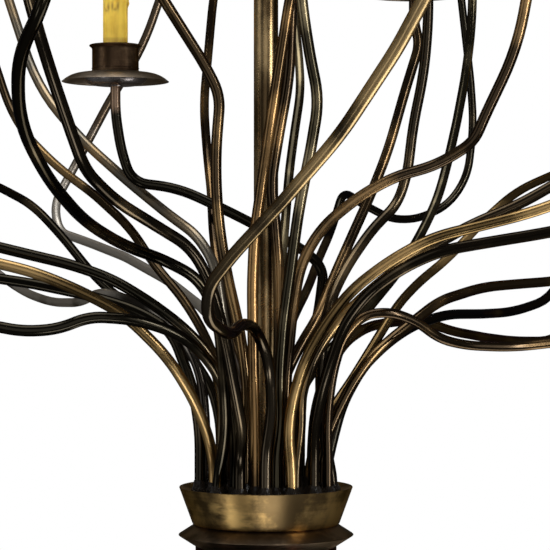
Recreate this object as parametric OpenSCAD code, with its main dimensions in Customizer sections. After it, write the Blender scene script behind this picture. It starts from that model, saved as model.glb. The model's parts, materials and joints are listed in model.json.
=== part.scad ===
// Branch chandelier: bent bronze rods rise from a cup on a centre pole and
// spread outwards, and eight of them carry candle lights.
// Origin: ceiling mount, centre of the canopy's rim, +Z up, X to the right.
// Branch routes are given from the hub: x to the right, y to the back,
// z up from the cup's rim.

/* [Suspension] */
// Distance from the ceiling down to the cup's rim
drop = 900; // [880:10:1200]
// Diameter of the ceiling canopy
canopy_d = 140; // [130:1:180]
// Depth of the ceiling canopy
canopy_h = 36; // [32:1:44]
// Wall of the ceiling canopy
canopy_wall = 1.6; // [1.2:0.1:2.5]
// Spacing of the two crossbar holes over the ceiling box
crossbar_pitch = 88.9; // [80:0.1:95]
// Diameter of a crossbar hole
crossbar_hole_d = 5; // [4:0.5:6]
// Width of the crossbar
crossbar_w = 18; // [16:1:24]
// Thickness of the crossbar
crossbar_t = 3; // [2:0.5:4]
// Diameter of the hollow threaded nipple that the light hangs on
nipple_d = 12; // [10:0.5:13]
// Diameter of the nipple's wire bore
nipple_bore_d = 7; // [5:0.5:8]
// Height of the collar under the canopy
collar_h = 9; // [7:1:12]
// Diameter of the collar and of the swivel forks
fork_d = 36; // [35:1:38]
// Height of a swivel fork's solid end
fork_end_h = 16; // [14:1:20]
// Diameter of a swivel pin
pin_d = 6; // [5:0.5:7]
// Gap between the two cheeks of a swivel fork
fork_gap = 20; // [19:0.5:21]
// Thickness of a swivel fork's cheek
cheek_t = 5; // [4:0.5:5.5]
// Width of a swivel fork's cheek
cheek_w = 16; // [14:0.5:16]
// Height from a fork's solid end to its pin
pin_rise = 22; // [20:1:26]
// Running clearance between moving faces
clearance = 0.3; // [0.2:0.05:0.5]

/* [Pole] */
// Outer diameter of the centre pole
pole_d = 24.5; // [22:0.5:27]
// Wall of the centre pole
pole_wall = 2; // [1.5:0.1:3]
// Length of the plugs that close the pole's ends
plug_h = 26; // [20:1:40]
// Wire bore through the plugs and out of the pole's side in the cup
wire_hole_d = 6; // [4:0.5:7]

/* [Hub] */
// Width of the cup's rim round the socket plate
cup_rim_w = 13; // [11:0.5:18]
// Distance that the cup's side leans in from its rim to its foot
cup_flare = 13.5; // [9:0.5:14]
// Height of the cup
cup_h = 37; // [34:1:45]
// Depth that the cup's bevelled rim falls inwards
cup_bevel = 4; // [2:0.5:6]
// Thickness of the cup's floor
cup_floor = 6; // [4:0.5:8]
// Diameter of the socket plate
plate_d = 148; // [140:1:160]
// Depth from the rim down to the socket plate
plate_depth = 3; // [2:0.5:5]
// Thickness of the socket plate
plate_t = 9; // [7:0.5:11]
// Diameter of the sharp flange disc under the cup
flange_d = 175; // [165:1:190]
// Height of the flange disc
flange_h = 22; // [18:1:28]
// Diameter of the flange disc where it meets the cup and the body
flange_neck_d = 141; // [130:1:145]
// Diameter of the turned body's bulge
body_d = 164; // [156:1:176]
// Height of the turned body under the flange disc
body_h = 92; // [84:1:96]
// Wall of the turned body's spun shell
body_wall = 3; // [2:0.5:5]
// Diameter of the finial's top plate
cap_d = 84; // [76:1:92]
// Height of the finial's top plate
cap_h = 12; // [10:1:18]
// Diameter of the finial's ball
finial_d = 34; // [30:1:44]
// Diameter of the tie rod that clamps the hub's pieces
tie_d = 10; // [8:0.5:12]

/* [Branches] */
// Diameter of a branch rod
rod_d = 11; // [9:0.5:11]
// Diameter of a thin branch rod
thin_d = 10; // [8:0.5:11]
// Distance from the outer ring of sockets to the socket plate's edge
ring_edge = 8; // [7.5:0.5:9]
// Distance from the outer to the inner ring of sockets
ring_step = 13.5; // [13:0.5:14]
// Distance from the inner to the core ring of sockets
core_step = 16.5; // [16:0.5:17]
// Gap between a rod and its bore in the socket plate
socket_gap = 0.1; // [0.05:0.05:0.2]
// Largest radius that a branch is bent to
bend_r = 500; // [300:10:600]
// Chamfer on the cut end of a branch
tip_chamfer = 2; // [0.5:0.5:3]
// Wire bore of a candle arm
arm_bore_d = 6; // [4:0.5:6.5]

/* [Candles] */
// Diameter of a drip pan
pan_d = 115; // [100:1:120]
// Height of a drip pan
pan_h = 9.5; // [8:0.5:13]
// Sheet thickness of a drip pan
sheet_t = 1.5; // [1:0.1:2]
// Diameter of the boss that joins an arm to its drip pan
boss_d = 15; // [14.5:0.5:18]
// Height of the boss above the arm's end
boss_rise = 9; // [8:0.5:12]
// Depth that an arm goes into its boss
boss_grip = 4; // [3:0.5:9]
// Diameter of the dish under a drip pan, where it meets the pan
dish_d = 70; // [60:1:80]
// Diameter of the dish's flat bottom
dish_foot_d = 42; // [30:1:50]
// Depth of the dish's bottom below the arm's end
dish_drop = 3; // [1:0.5:5]
// Diameter of a candle cup's body
holder_d = 50; // [46:1:54]
// Height of a candle cup
holder_h = 30; // [26:1:34]
// Diameter of a candle cup's lip
holder_lip_d = 56; // [56:1:62]
// Diameter of a candle sleeve
sleeve_d = 26.5; // [26:0.5:30]
// Wall of a candle sleeve
sleeve_wall = 1.5; // [1:0.1:1.6]
// Height of a candle sleeve
sleeve_h = 103; // [96:1:130]
// Diameter of a lamp socket
lamp_d = 21; // [19:0.5:22]
// Diameter of a bulb's base
bulb_base_d = 12; // [11:0.5:13]
// Height of a bulb's base
bulb_base_h = 24; // [20:1:28]
// Diameter of a bulb's glass
bulb_d = 34; // [30:1:38]
// Height of a bulb's glass
bulb_h = 76; // [70:1:90]
// Diameter of the threaded stud on top of a boss
stud_d = 9; // [8:0.5:10]
// Wire bore of a stud
stud_bore_d = 5; // [3:0.5:6]

/* [Hidden] */
$fn = 64;
bronze = "#4a3826";
dark_bronze = "#2b221a";
gold_bronze = "#7a6238";
dark_red = "#2e1412";
wax = "#dcb646";
steel = "#8a8a86";
brass = "#b08d4a";
glass = "#efe6cf";
// Overlap that joins two shapes of one piece
lap = 0.02;
// Bends are this much thicker than the rod's straight runs
bend_skin = 0.02;
// Length that a bend runs on into the straight run beside it
bend_lap = 0.4;
// Straight run left between two bends
straight_min = 3;
slot_angle = 22.5;
light_n = 8;
branch_n = 24;

// Heights of the suspension, down from the ceiling
canopy_skirt = 4;
canopy_seat_d = 40;
seat_t = 4;
seat_z = -canopy_h - 1;
yoke_z = seat_z - collar_h;
nipple_depth = 12;
pin_z = yoke_z - fork_end_h - pin_rise;
stem_z = pin_z - pin_rise - fork_end_h;
cheek_play = 1.5;
cross_h = 15;

// Rings of sockets and width of the cup, from the socket plate
ring_outer = plate_d / 2 - ring_edge;
ring_inner = ring_outer - ring_step;
ring_core = ring_inner - core_step;
cup_d = plate_d + 2 * cup_rim_w;
cup_foot_d = cup_d - 2 * cup_flare;

// Heights of the hub, from the cup's rim
plate_bottom = -plate_depth - plate_t;
floor_z = -cup_h + cup_floor;
flange_z = -cup_h;
body_z = flange_z - flange_h;
finial_z = body_z - body_h;
ledge_w = 6;
thread_grip = 14;
fit = 0.1;

// Heights of a candle light, from the end of its arm
pan_top = boss_rise + sheet_t;
pan_flat_d = 55;
stud_z = 2;
holder_floor = 2;
holder_wall = 1.5;
sleeve_z = pan_top + holder_floor;
socket_grip = 10;
socket_short = 3;
lamp_top = sleeve_z + sleeve_h - socket_short;
bulb_z = lamp_top - bulb_base_h;
glass_neck = 6.5;

// Each branch: name, ring radius, slot on the ring, diameter, height where its
// straight foot ends, and the corners of its route above that.
// Slots count anticlockwise from the right, seen from above.
BRANCHES = [
    ["candle_arm_1", ring_inner, 2.2, rod_d, 50, [
        [38, 66, 110], [54, 104, 165], [61, 132, 218], [38, 137, 239], [0, 137, 258],
        [-45, 137, 281], [-95, 141, 304], [-144, 146, 310], [-156, 150, 345], [-162, 150, 385],
        [-162, 150, 417]]],
    ["candle_arm_2", ring_inner, 3.5, rod_d, 50, [
        [16, 60, 100], [36, 70, 140], [54, 82, 168], [70, 106, 207], [92, 130, 255],
        [112, 150, 298], [131, 164, 345], [150, 180, 410], [167, 196, 463], [161, 200, 490],
        [161, 200, 517]]],
    ["candle_arm_3", ring_outer, 12, rod_d, 40, [
        [6, -74, 78], [4, -86, 128], [-9, -120, 160], [-20, -190, 168], [-31, -255, 157],
        [-50, -297, 174], [-47, -320, 202], [-24, -354, 230], [15, -408, 270], [60, -475, 320],
        [99, -550, 378], [126, -612, 428], [140, -630, 465], [140, -630, 500]]],
    ["candle_arm_4", ring_outer, 10, rod_d, 12, [
        [-38, -64, 60], [-40, -84, 112], [-45, -94, 168], [-62, -102, 207],
        [-95, -120, 225], [-130, -165, 238], [-160, -235, 258], [-183, -330, 292], [-198, -405, 335],
        [-190, -475, 380], [-165, -530, 412], [-150, -550, 455], [-150, -550, 500]]],
    ["candle_arm_5", ring_inner, 10.5, rod_d, 40, [
        [-34, -55, 88], [-53, -72, 128], [-82, -96, 155], [-123, -116, 169],
        [-165, -128, 172], [-195, -130, 160], [-228, -130, 158], [-300, -130, 172], [-400, -132, 188],
        [-500, -138, 205], [-545, -140, 250], [-548, -140, 290], [-548, -140, 325]]],
    ["candle_arm_6", ring_outer, 15, thin_d, 25, [
        [60, -25, 70], [66, -20, 115], [77, -15, 150], [98, -10, 172], [125, -5, 174],
        [150, 8, 165], [176, 25, 146], [205, 45, 139], [255, 70, 136], [340, 90, 145], [430, 95, 155],
        [510, 95, 175], [548, 95, 220], [550, 95, 260], [550, 95, 295]]],
    ["candle_arm_7", ring_outer, 6, thin_d, 60, [
        [-56, 62, 95], [-85, 92, 137], [-120, 125, 172], [-160, 165, 186],
        [-190, 188, 212], [-225, 222, 252], [-262, 260, 289], [-320, 330, 318], [-370, 390, 330],
        [-388, 408, 365], [-388, 408, 405]]],
    ["candle_arm_8", ring_inner, 1.5, thin_d, 20, [
        [58, 45, 57], [68, 57, 74], [90, 80, 104], [118, 110, 146], [140, 145, 179],
        [165, 182, 203], [200, 226, 229], [245, 282, 272], [288, 332, 308], [350, 395, 335],
        [405, 436, 350], [420, 446, 385], [420, 446, 420]]],
    ["branch_1", ring_outer, 8, rod_d, 55, [
        [-73, 5, 97], [-95, 15, 155], [-130, 30, 175], [-180, 45, 190], [-240, 60, 202],
        [-330, 80, 215], [-410, 95, 250], [-455, 100, 325]]],
    ["branch_2", ring_outer, 7, thin_d, 60, [
        [-66, 30, 112], [-86, 44, 150], [-122, 78, 177], [-174, 130, 195],
        [-202, 178, 181], [-242, 264, 180], [-287, 348, 192], [-342, 412, 228], [-350, 420, 300]]],
    ["branch_3", ring_inner, 8.5, rod_d, 22, [
        [-57, -22, 52], [-71, -42, 90], [-95, -58, 131], [-137, -65, 173],
        [-180, -70, 196], [-224, -70, 214], [-300, -75, 232], [-380, -90, 240], [-440, -110, 280],
        [-460, -120, 345]]],
    ["branch_4", ring_inner, 9.5, rod_d, 50, [
        [-42, -38, 90], [-52, -46, 130], [-80, -52, 160], [-112, -50, 184],
        [-150, -45, 207], [-190, -40, 221], [-228, -40, 230], [-310, -40, 250], [-380, -35, 290],
        [-412, -30, 375]]],
    ["branch_5", ring_inner, 6.2, thin_d, 60, [
        [-45, 42, 105], [-62, 58, 148], [-85, 80, 185], [-118, 105, 222],
        [-146, 145, 262], [-190, 200, 300], [-235, 250, 332], [-290, 310, 385], [-325, 350, 480]]],
    ["branch_6", ring_outer, 11, rod_d, 30, [
        [-22, -80, 60], [-30, -98, 105], [-38, -115, 150], [-50, -130, 200],
        [-68, -145, 236], [-100, -170, 256], [-135, -215, 278], [-158, -255, 303], [-168, -275, 335],
        [-183, -305, 385], [-194, -345, 432], [-205, -380, 490], [-215, -395, 550]]],
    ["branch_7", ring_core, 10.5, rod_d, 60, [
        [-18, -38, 100], [-26, -42, 160], [-38, -40, 210], [-47, -35, 265],
        [-50, -30, 325], [-45, -28, 388], [-60, -30, 418], [-92, -40, 468], [-125, -60, 520],
        [-142, -70, 600]]],
    ["branch_8", ring_inner, 4.5, thin_d, 40, [
        [-14, 62, 90], [-32, 80, 145], [-50, 105, 210], [-57, 140, 257],
        [-60, 172, 302], [-66, 205, 350], [-70, 225, 400], [-66, 248, 455], [-61, 268, 520],
        [-48, 288, 610]]],
    ["branch_9", ring_inner, 5.5, rod_d, 50, [
        [-34, 55, 110], [-45, 64, 170], [-53, 72, 222], [-72, 88, 252],
        [-105, 122, 276], [-150, 178, 312], [-205, 238, 360], [-262, 295, 425], [-305, 340, 545]]],
    ["branch_10", ring_outer, 5, rod_d, 60, [
        [-32, 80, 120], [-60, 130, 170], [-110, 230, 205], [-165, 340, 232],
        [-215, 430, 250], [-257, 480, 264], [-264, 498, 300], [-239, 520, 350], [-199, 542, 430],
        [-158, 562, 500], [-122, 580, 610]]],
    ["branch_11", ring_inner, 11.5, rod_d, 40, [
        [-12, -58, 120], [-13, -60, 200], [-11, -60, 250], [-4, -56, 298],
        [4, -46, 355], [14, -40, 420], [24, -40, 485], [40, -50, 560], [62, -72, 650]]],
    ["branch_12", ring_core, 12, rod_d, 30, [
        [9, -27, 80], [13, -21, 130], [13, -21, 215], [9, -22, 265], [5, -24, 302],
        [13, -24, 352], [23, -18, 405], [25, -10, 460], [28, 0, 530], [46, 12, 640]]],
    ["branch_13", ring_core, 4, thin_d, 50, [
        [5, 58, 120], [12, 90, 190], [19, 122, 255], [24, 170, 320], [30, 212, 365],
        [38, 255, 418], [36, 290, 462], [31, 325, 512], [24, 365, 600]]],
    ["branch_14", ring_inner, 12.5, rod_d, 30, [
        [15, -54, 66], [13, -60, 110], [17, -66, 165], [24, -72, 215], [32, -78, 275],
        [43, -88, 330], [51, -97, 378], [42, -106, 420], [34, -114, 470], [30, -120, 530],
        [40, -132, 600]]],
    ["branch_15", ring_core, 13.5, rod_d, 40, [
        [19, -42, 100], [26, -40, 175], [34, -38, 222], [55, -40, 258], [90, -43, 287],
        [125, -47, 307], [167, -52, 318], [202, -60, 340], [213, -64, 366], [243, -72, 430],
        [266, -84, 560]]],
    ["branch_16", ring_outer, 13, rod_d, 20, [
        [22, -66, 55], [25, -66, 85], [36, -68, 125], [55, -70, 160], [82, -72, 196],
        [120, -75, 225], [160, -77, 247], [205, -79, 258], [260, -82, 272], [330, -90, 300],
        [390, -100, 345], [412, -105, 420]]],
    ["branch_17", ring_inner, 13.5, rod_d, 25, [
        [34, -47, 60], [34, -48, 95], [50, -46, 137], [72, -42, 167], [110, -38, 203],
        [160, -32, 237], [205, -24, 262], [250, -16, 280], [320, -10, 320], [370, -8, 380],
        [386, -8, 455]]],
    ["branch_18", ring_outer, 14, rod_d, 30, [
        [47, -52, 60], [53, -60, 92], [62, -72, 125], [75, -82, 163], [98, -95, 194],
        [130, -115, 218], [165, -135, 234], [205, -150, 241], [260, -175, 250], [330, -215, 265],
        [395, -260, 300], [430, -285, 380]]],
    ["branch_19", ring_outer, 0, rod_d, 8, [
        [59, -8, 45], [54, -10, 90], [55, -8, 140], [64, 8, 185], [82, 38, 220],
        [110, 72, 259], [137, 96, 285], [148, 102, 318], [154, 105, 368], [166, 108, 425],
        [171, 108, 490], [166, 98, 590]]],
    ["branch_20", ring_inner, 0.5, rod_d, 20, [
        [60, 16, 45], [72, 18, 73], [86, 20, 100], [106, 26, 128], [130, 40, 148],
        [152, 56, 164], [180, 85, 184], [230, 136, 198], [268, 172, 201], [330, 220, 205],
        [400, 260, 225], [448, 284, 305]]],
    ["branch_21", ring_outer, 1, rod_d, 15, [
        [67, 30, 42], [77, 36, 79], [98, 60, 115], [127, 105, 140], [157, 150, 157],
        [196, 202, 168], [242, 272, 167], [285, 332, 168], [345, 405, 185], [375, 440, 265]]],
    ["branch_22", ring_outer, 2, rod_d, 30, [
        [50, 62, 70], [60, 72, 105], [80, 90, 140], [106, 128, 156], [136, 180, 160],
        [172, 238, 161], [210, 290, 147], [255, 355, 138], [294, 410, 132], [360, 480, 130],
        [415, 520, 190]]],
    ["branch_23", ring_outer, 3, rod_d, 45, [
        [34, 82, 90], [60, 112, 125], [92, 152, 155], [118, 198, 183], [150, 252, 218],
        [178, 300, 262], [198, 335, 300], [212, 362, 345], [224, 384, 392], [238, 412, 455],
        [247, 432, 520], [248, 440, 610]]],
    ["branch_24", ring_outer, 4, thin_d, 50, [
        [8, 90, 110], [28, 145, 165], [45, 200, 196], [57, 272, 226], [75, 345, 264],
        [90, 392, 311], [111, 425, 298], [152, 468, 279], [185, 492, 280], [225, 512, 298],
        [250, 525, 335], [258, 534, 400], [255, 541, 455], [240, 555, 600]]]
];

// Points and lengths of a bent rod
function unit(v) = v / norm(v);
function socket(b, z) = [b[1] * cos(b[2] * slot_angle), b[1] * sin(b[2] * slot_angle), z];
function foot(b) = socket(b, plate_bottom + clearance);
function route(b) = concat([foot(b), socket(b, b[4])], b[5]);
// The same route with both ends moved out, so that a bore runs through them
function pierced(p) = concat(
    [p[0] - [0, 0, 1]],
    [for (i = [1 : len(p) - 2]) p[i]],
    [p[len(p) - 1] + heading(p, len(p) - 2)]);
function heading(p, i) = unit(p[i + 1] - p[i]);
function turn(p, i) = acos(min(1, heading(p, i - 1) * heading(p, i)));
function half_run(p, i) = (norm(p[i + 1] - p[i]) - straight_min) / 2;
function reach(p, i) = i == 0 || i == len(p) - 1 ? 0
    : min(bend_r * tan(turn(p, i) / 2), half_run(p, i - 1), half_run(p, i));
function side(u) = unit(cross(u, abs(u.z) < 0.9 ? [0, 0, 1] : [1, 0, 0]));
function light_at(i) = BRANCHES[i - 1][5][len(BRANCHES[i - 1][5]) - 1];

// Puts its children in the frame of three given directions at a point
module place(o, x, y, z) {
    multmatrix([[x.x, y.x, z.x, o.x], [x.y, y.y, z.y, o.y], [x.z, y.z, z.z, o.z], [0, 0, 0, 1]])
        children();
}

// Straight run of a rod from its corner i to the next corner
module rod_run(p, i, r, chamfer) {
    u = heading(p, i);
    a = p[i] + u * reach(p, i);
    b = p[i + 1] - u * reach(p, i + 1);
    cut = i == len(p) - 2 ? chamfer : 0;
    x = side(u);
    place(a, x, cross(u, x), u) {
        cylinder(r = r, h = norm(b - a) - cut);
        if (cut > 0)
            translate([0, 0, norm(b - a) - cut])
                cylinder(r1 = r, r2 = r - cut, h = cut);
    }
}

// Bend of a rod around its corner i
module rod_bend(p, i, r) {
    u = heading(p, i - 1);
    v = heading(p, i);
    t = reach(p, i);
    big = t / tan(turn(p, i) / 2);
    c = p[i] + unit(v - u) * big / cos(turn(p, i) / 2);
    x = unit(p[i] - u * t - c);
    more = bend_lap / big * 180 / PI;
    place(c, x, u, cross(x, u))
        rotate([0, 0, -more])
            rotate_extrude(angle = turn(p, i) + 2 * more)
                translate([big, 0])
                    circle(r = r + bend_skin);
}

module bent_rod(p, r, chamfer = 0) {
    for (i = [0 : len(p) - 2])
        rod_run(p, i, r, chamfer);
    for (i = [1 : len(p) - 2])
        rod_bend(p, i, r);
}

module at_hub() {
    translate([0, 0, -drop])
        children();
}

module at_light(i) {
    at_hub()
        translate(light_at(i))
            children();
}

module at_lights() {
    for (i = [1 : light_n])
        at_light(i)
            children();
}

module branch(b) {
    color(bronze)
        at_hub()
            bent_rod(route(b), b[3] / 2, tip_chamfer);
}

module candle_arm(b) {
    color(bronze)
        at_hub()
            difference() {
                bent_rod(route(b), b[3] / 2);
                bent_rod(pierced(route(b)), arm_bore_d / 2);
            }
}

module ring(d, hole_d, h) {
    difference() {
        cylinder(d = d, h = h);
        translate([0, 0, -1])
            cylinder(d = hole_d, h = h + 2);
    }
}

// Dished shell with its rim at z = 0, opening upwards
module canopy_cap(d, h) {
    ball_r = (d * d / 4 + h * h) / (2 * h);
    intersection() {
        translate([0, 0, ball_r - h])
            sphere(r = ball_r, $fn = 128);
        translate([0, 0, -h - 1])
            cylinder(d = d, h = h + 1);
    }
}

module canopy() {
    color(bronze)
        difference() {
            union() {
                translate([0, 0, -canopy_skirt])
                    cylinder(d = canopy_d, h = canopy_skirt);
                translate([0, 0, -canopy_skirt])
                    canopy_cap(canopy_d, canopy_h - canopy_skirt);
                translate([0, 0, seat_z])
                    cylinder(d = canopy_seat_d, h = canopy_skirt);
            }
            difference() {
                union() {
                    translate([0, 0, -canopy_skirt])
                        cylinder(d = canopy_d - 2 * canopy_wall, h = canopy_skirt + 1);
                    translate([0, 0, -canopy_skirt])
                        canopy_cap(canopy_d - 2 * canopy_wall, canopy_h - canopy_skirt - canopy_wall);
                }
                translate([0, 0, seat_z])
                    cylinder(d = canopy_seat_d, h = seat_t);
            }
            translate([0, 0, seat_z - 1])
                cylinder(d = nipple_d + 2 * clearance, h = canopy_h + 2);
        }
}

module crossbar() {
    color(steel)
        translate([0, 0, -crossbar_t])
            difference() {
                intersection() {
                    translate([-canopy_d / 2, -crossbar_w / 2, 0])
                        cube([canopy_d, crossbar_w, crossbar_t]);
                    cylinder(d = crossbar_pitch + crossbar_w, h = crossbar_t);
                }
                translate([0, 0, -1])
                    cylinder(d = nipple_d + 2 * fit, h = crossbar_t + 2);
                for (s = [-1, 1])
                    translate([s * crossbar_pitch / 2, 0, -1])
                        cylinder(d = crossbar_hole_d, h = crossbar_t + 2);
            }
}

module hanger_nipple() {
    color(brass)
        translate([0, 0, yoke_z - nipple_depth])
            ring(nipple_d, nipple_bore_d, -yoke_z + nipple_depth - clearance);
}

module canopy_collar() {
    edge = 2;
    color(gold_bronze)
        translate([0, 0, yoke_z])
            difference() {
                union() {
                    cylinder(d1 = fork_d - 2 * edge, d2 = fork_d, h = edge);
                    translate([0, 0, edge])
                        cylinder(d = fork_d, h = collar_h - 2 * edge);
                    translate([0, 0, collar_h - edge])
                        cylinder(d1 = fork_d, d2 = fork_d - 2 * edge, h = edge);
                }
                translate([0, 0, -1])
                    cylinder(d = nipple_d + 2 * fit, h = collar_h + 2);
            }
}

// Two cheeks that stand on z = 0, with their pin bores at pin_rise along X
module fork_cheeks() {
    difference() {
        for (s = [-1, 1])
            translate([s * (fork_gap + cheek_t) / 2, 0, 0]) {
                translate([-cheek_t / 2, -cheek_w / 2, -lap])
                    cube([cheek_t, cheek_w, pin_rise + lap]);
                translate([-cheek_t / 2, 0, pin_rise])
                    rotate([0, 90, 0])
                        cylinder(d = cheek_w, h = cheek_t);
            }
        translate([-fork_d, 0, pin_rise])
            rotate([0, 90, 0])
                cylinder(d = pin_d + 2 * clearance, h = 2 * fork_d);
    }
}

module swivel_yoke() {
    color(gold_bronze) {
        translate([0, 0, yoke_z - fork_end_h])
            difference() {
                cylinder(d = fork_d, h = fork_end_h);
                translate([0, 0, fork_end_h - nipple_depth])
                    cylinder(d = nipple_d + 2 * fit, h = nipple_depth + 1);
                translate([0, 0, -1])
                    cylinder(d = nipple_bore_d, h = fork_end_h);
            }
        translate([0, 0, yoke_z - fork_end_h])
            mirror([0, 0, 1])
                fork_cheeks();
    }
}

module swivel_cross() {
    block = fork_gap - 2 * clearance;
    trunnion = fork_gap + 2 * cheek_t + 2 * cheek_play;
    color(steel)
        translate([0, 0, pin_z])
            difference() {
                union() {
                    cube([block, block, cross_h], center = true);
                    rotate([0, 90, 0])
                        cylinder(d = pin_d, h = trunnion, center = true);
                    rotate([90, 0, 0])
                        cylinder(d = pin_d, h = trunnion, center = true);
                }
                cylinder(d = nipple_bore_d, h = cross_h + 2, center = true);
            }
}

module stem_yoke() {
    plug_d = pole_d - 2 * pole_wall - 2 * fit;
    color(gold_bronze) {
        translate([0, 0, stem_z])
            difference() {
                union() {
                    cylinder(d = fork_d, h = fork_end_h);
                    translate([0, 0, -plug_h])
                        cylinder(d = plug_d, h = plug_h + lap);
                }
                translate([0, 0, -plug_h - 1])
                    cylinder(d = nipple_bore_d, h = plug_h + fork_end_h + 2);
            }
        translate([0, 0, stem_z + fork_end_h])
            rotate([0, 0, 90])
                fork_cheeks();
    }
}

module center_pole() {
    bottom = -drop + floor_z;
    color(gold_bronze)
        difference() {
            translate([0, 0, bottom])
                ring(pole_d, pole_d - 2 * pole_wall, stem_z - bottom);
            wire_hole();
        }
}

// Hole across the pole, in the hollow of the cup under the socket plate
module wire_hole() {
    at_hub()
        translate([0, 0, (floor_z + plate_bottom) / 2])
            rotate([90, 0, 0])
                cylinder(d = wire_hole_d, h = pole_d + 2, center = true);
}

module socket_plate() {
    color(dark_bronze)
        at_hub()
            translate([0, 0, plate_bottom])
                difference() {
                    cylinder(d = plate_d, h = plate_t);
                    translate([0, 0, -1])
                        cylinder(d = pole_d + 2 * fit, h = plate_t + 2);
                    for (b = BRANCHES)
                        translate(socket(b, -1))
                            cylinder(d = b[3] + 2 * socket_gap, h = plate_t + 2);
                }
}

// Cup whose bevelled rim holds the socket plate on a ledge
module hub_cup() {
    inner = plate_d / 2 + fit;
    color(gold_bronze)
        at_hub()
            rotate_extrude()
                polygon([
                    [tie_d / 2 + fit, -cup_h], [cup_foot_d / 2, -cup_h], [cup_d / 2, 0],
                    [inner, -cup_bevel], [inner, plate_bottom], [inner - ledge_w, plate_bottom],
                    [inner - ledge_w, floor_z], [tie_d / 2 + fit, floor_z]]);
}

module flange_disc() {
    color(bronze)
        at_hub()
            rotate_extrude()
                polygon([
                    [tie_d / 2 + fit, flange_z - flange_h], [flange_neck_d / 2, flange_z - flange_h],
                    [flange_d / 2, flange_z - flange_h / 2], [flange_neck_d / 2, flange_z],
                    [tie_d / 2 + fit, flange_z]]);
}

// Turned body: a short neck, a round bulge and a flat foot
module turned_body() {
    color(dark_red)
        at_hub()
            translate([0, 0, body_z])
                difference() {
                    bulb_shape(0, 0);
                    bulb_shape(body_wall, 1);
                    translate([0, 0, -body_h - 1])
                        cylinder(d = tie_d + 2 * fit, h = body_h + 2);
                }
}

// Outside of the turned body, drawn in by a wall and open at its top
module bulb_shape(wall, open) {
    neck_h = 8;
    bulge_r = 50;
    bulge_z = -neck_h - (body_h - neck_h) * 0.46;
    core_r = body_d / 2 - bulge_r;
    top_r = core_r + sqrt(pow(bulge_r, 2) - pow(bulge_z + neck_h, 2));
    neck_d = open == 0 ? flange_neck_d : min(flange_neck_d, 2 * top_r) - 5 * wall;
    translate([0, 0, -neck_h - open])
        cylinder(d = neck_d, h = neck_h + 2 * open);
    rotate_extrude()
        intersection() {
            union() {
                translate([core_r, bulge_z])
                    circle(r = bulge_r - wall);
                translate([0, bulge_z - bulge_r + wall])
                    square([core_r, 2 * (bulge_r - wall)]);
            }
            translate([0, -body_h + wall])
                square([body_d, body_h - neck_h - 2 * wall + lap]);
        }
}

module tie_rod() {
    plug_d = pole_d - 2 * pole_wall - 2 * fit;
    foot_z = finial_z - thread_grip;
    wire_z = (floor_z + plate_bottom) / 2;
    color(steel)
        difference() {
            at_hub() {
                translate([0, 0, floor_z])
                    cylinder(d = plug_d, h = plug_h);
                translate([0, 0, foot_z])
                    cylinder(d = tie_d, h = floor_z - foot_z + lap);
            }
            at_hub()
                translate([0, 0, wire_z])
                    cylinder(d = wire_hole_d - 1, h = plug_h);
            wire_hole();
        }
}

// Finial: a stepped plate, a neck and a ball with a button
module finial() {
    step_h = cap_h / 2;
    neck_h = 6;
    ball_z = -cap_h - neck_h - finial_d / 2 + 4;
    color(gold_bronze)
        at_hub()
            translate([0, 0, finial_z])
                difference() {
                    union() {
                        translate([0, 0, -step_h])
                            cylinder(d1 = cap_d - step_h, d2 = cap_d, h = step_h);
                        translate([0, 0, -cap_h])
                            cylinder(d1 = finial_d * 0.8, d2 = cap_d * 0.7, h = step_h + lap);
                        translate([0, 0, -cap_h - neck_h])
                            cylinder(d = finial_d * 0.6, h = neck_h + lap);
                        translate([0, 0, ball_z])
                            sphere(d = finial_d);
                        translate([0, 0, ball_z - finial_d / 2 - 3])
                            cylinder(d1 = 6, d2 = 11, h = 6);
                    }
                    translate([0, 0, -thread_grip - clearance])
                        cylinder(d = tie_d + 2 * fit, h = thread_grip + clearance + 1);
                }
}

// Depth of a drip pan's top below its crown, at a radius r
function pan_fall(r) = pan_h * pow(max(0, 2 * r - pan_flat_d) / (pan_d - pan_flat_d), 3);

// Side of the dish under a drip pan: a quarter wave from its flat bottom up to the pan
dish_h = boss_rise + dish_drop - pan_fall(dish_d / 2) - clearance;
function dish(t, skin) = [
    dish_foot_d / 2 + (dish_d - dish_foot_d) / 2 * sin(t) - skin * sin(t),
    -dish_drop + dish_h * (1 - cos(t)) + skin * cos(t)];

// Boss on the end of an arm, with the dish that stiffens the drip pan above it
module arm_boss(arm_d) {
    difference() {
        union() {
            translate([0, 0, -boss_grip])
                cylinder(d = boss_d, h = boss_grip + boss_rise);
            rotate_extrude()
                polygon(concat(
                    [[0, sheet_t - dish_drop], [0, -dish_drop]],
                    [for (t = [0 : 10 : 90]) dish(t, 0)],
                    [for (t = [90 : -10 : 0]) dish(t, sheet_t)]));
        }
        translate([0, 0, -boss_grip - dish_drop])
            cylinder(d = arm_d + 2 * fit, h = boss_grip + dish_drop);
        translate([0, 0, -1])
            cylinder(d = stud_bore_d, h = boss_rise + 2);
        translate([0, 0, stud_z])
            cylinder(d = stud_d + 2 * fit, h = boss_rise);
    }
}

module arm_bosses() {
    color(bronze)
        for (i = [1 : light_n])
            at_light(i)
                arm_boss(BRANCHES[i - 1][3]);
}

// Point of a drip pan's side, for t from 0 at its flat crown to 90 at its rim
function pan_side(t, skin) =
    let (r = pan_flat_d / 2 + (pan_d - pan_flat_d) / 2 * sin(t))
    [r, -min(pan_fall(r) + skin, pan_h)];

module drip_pans() {
    color(bronze)
        at_lights()
            translate([0, 0, pan_top])
                rotate_extrude()
                    polygon(concat(
                        [for (t = [0 : 10 : 90]) pan_side(t, 0)],
                        [for (t = [80 : -10 : 0]) pan_side(t, sheet_t)],
                        [[stud_d / 2 + fit, -sheet_t], [stud_d / 2 + fit, 0]]));
}

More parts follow.
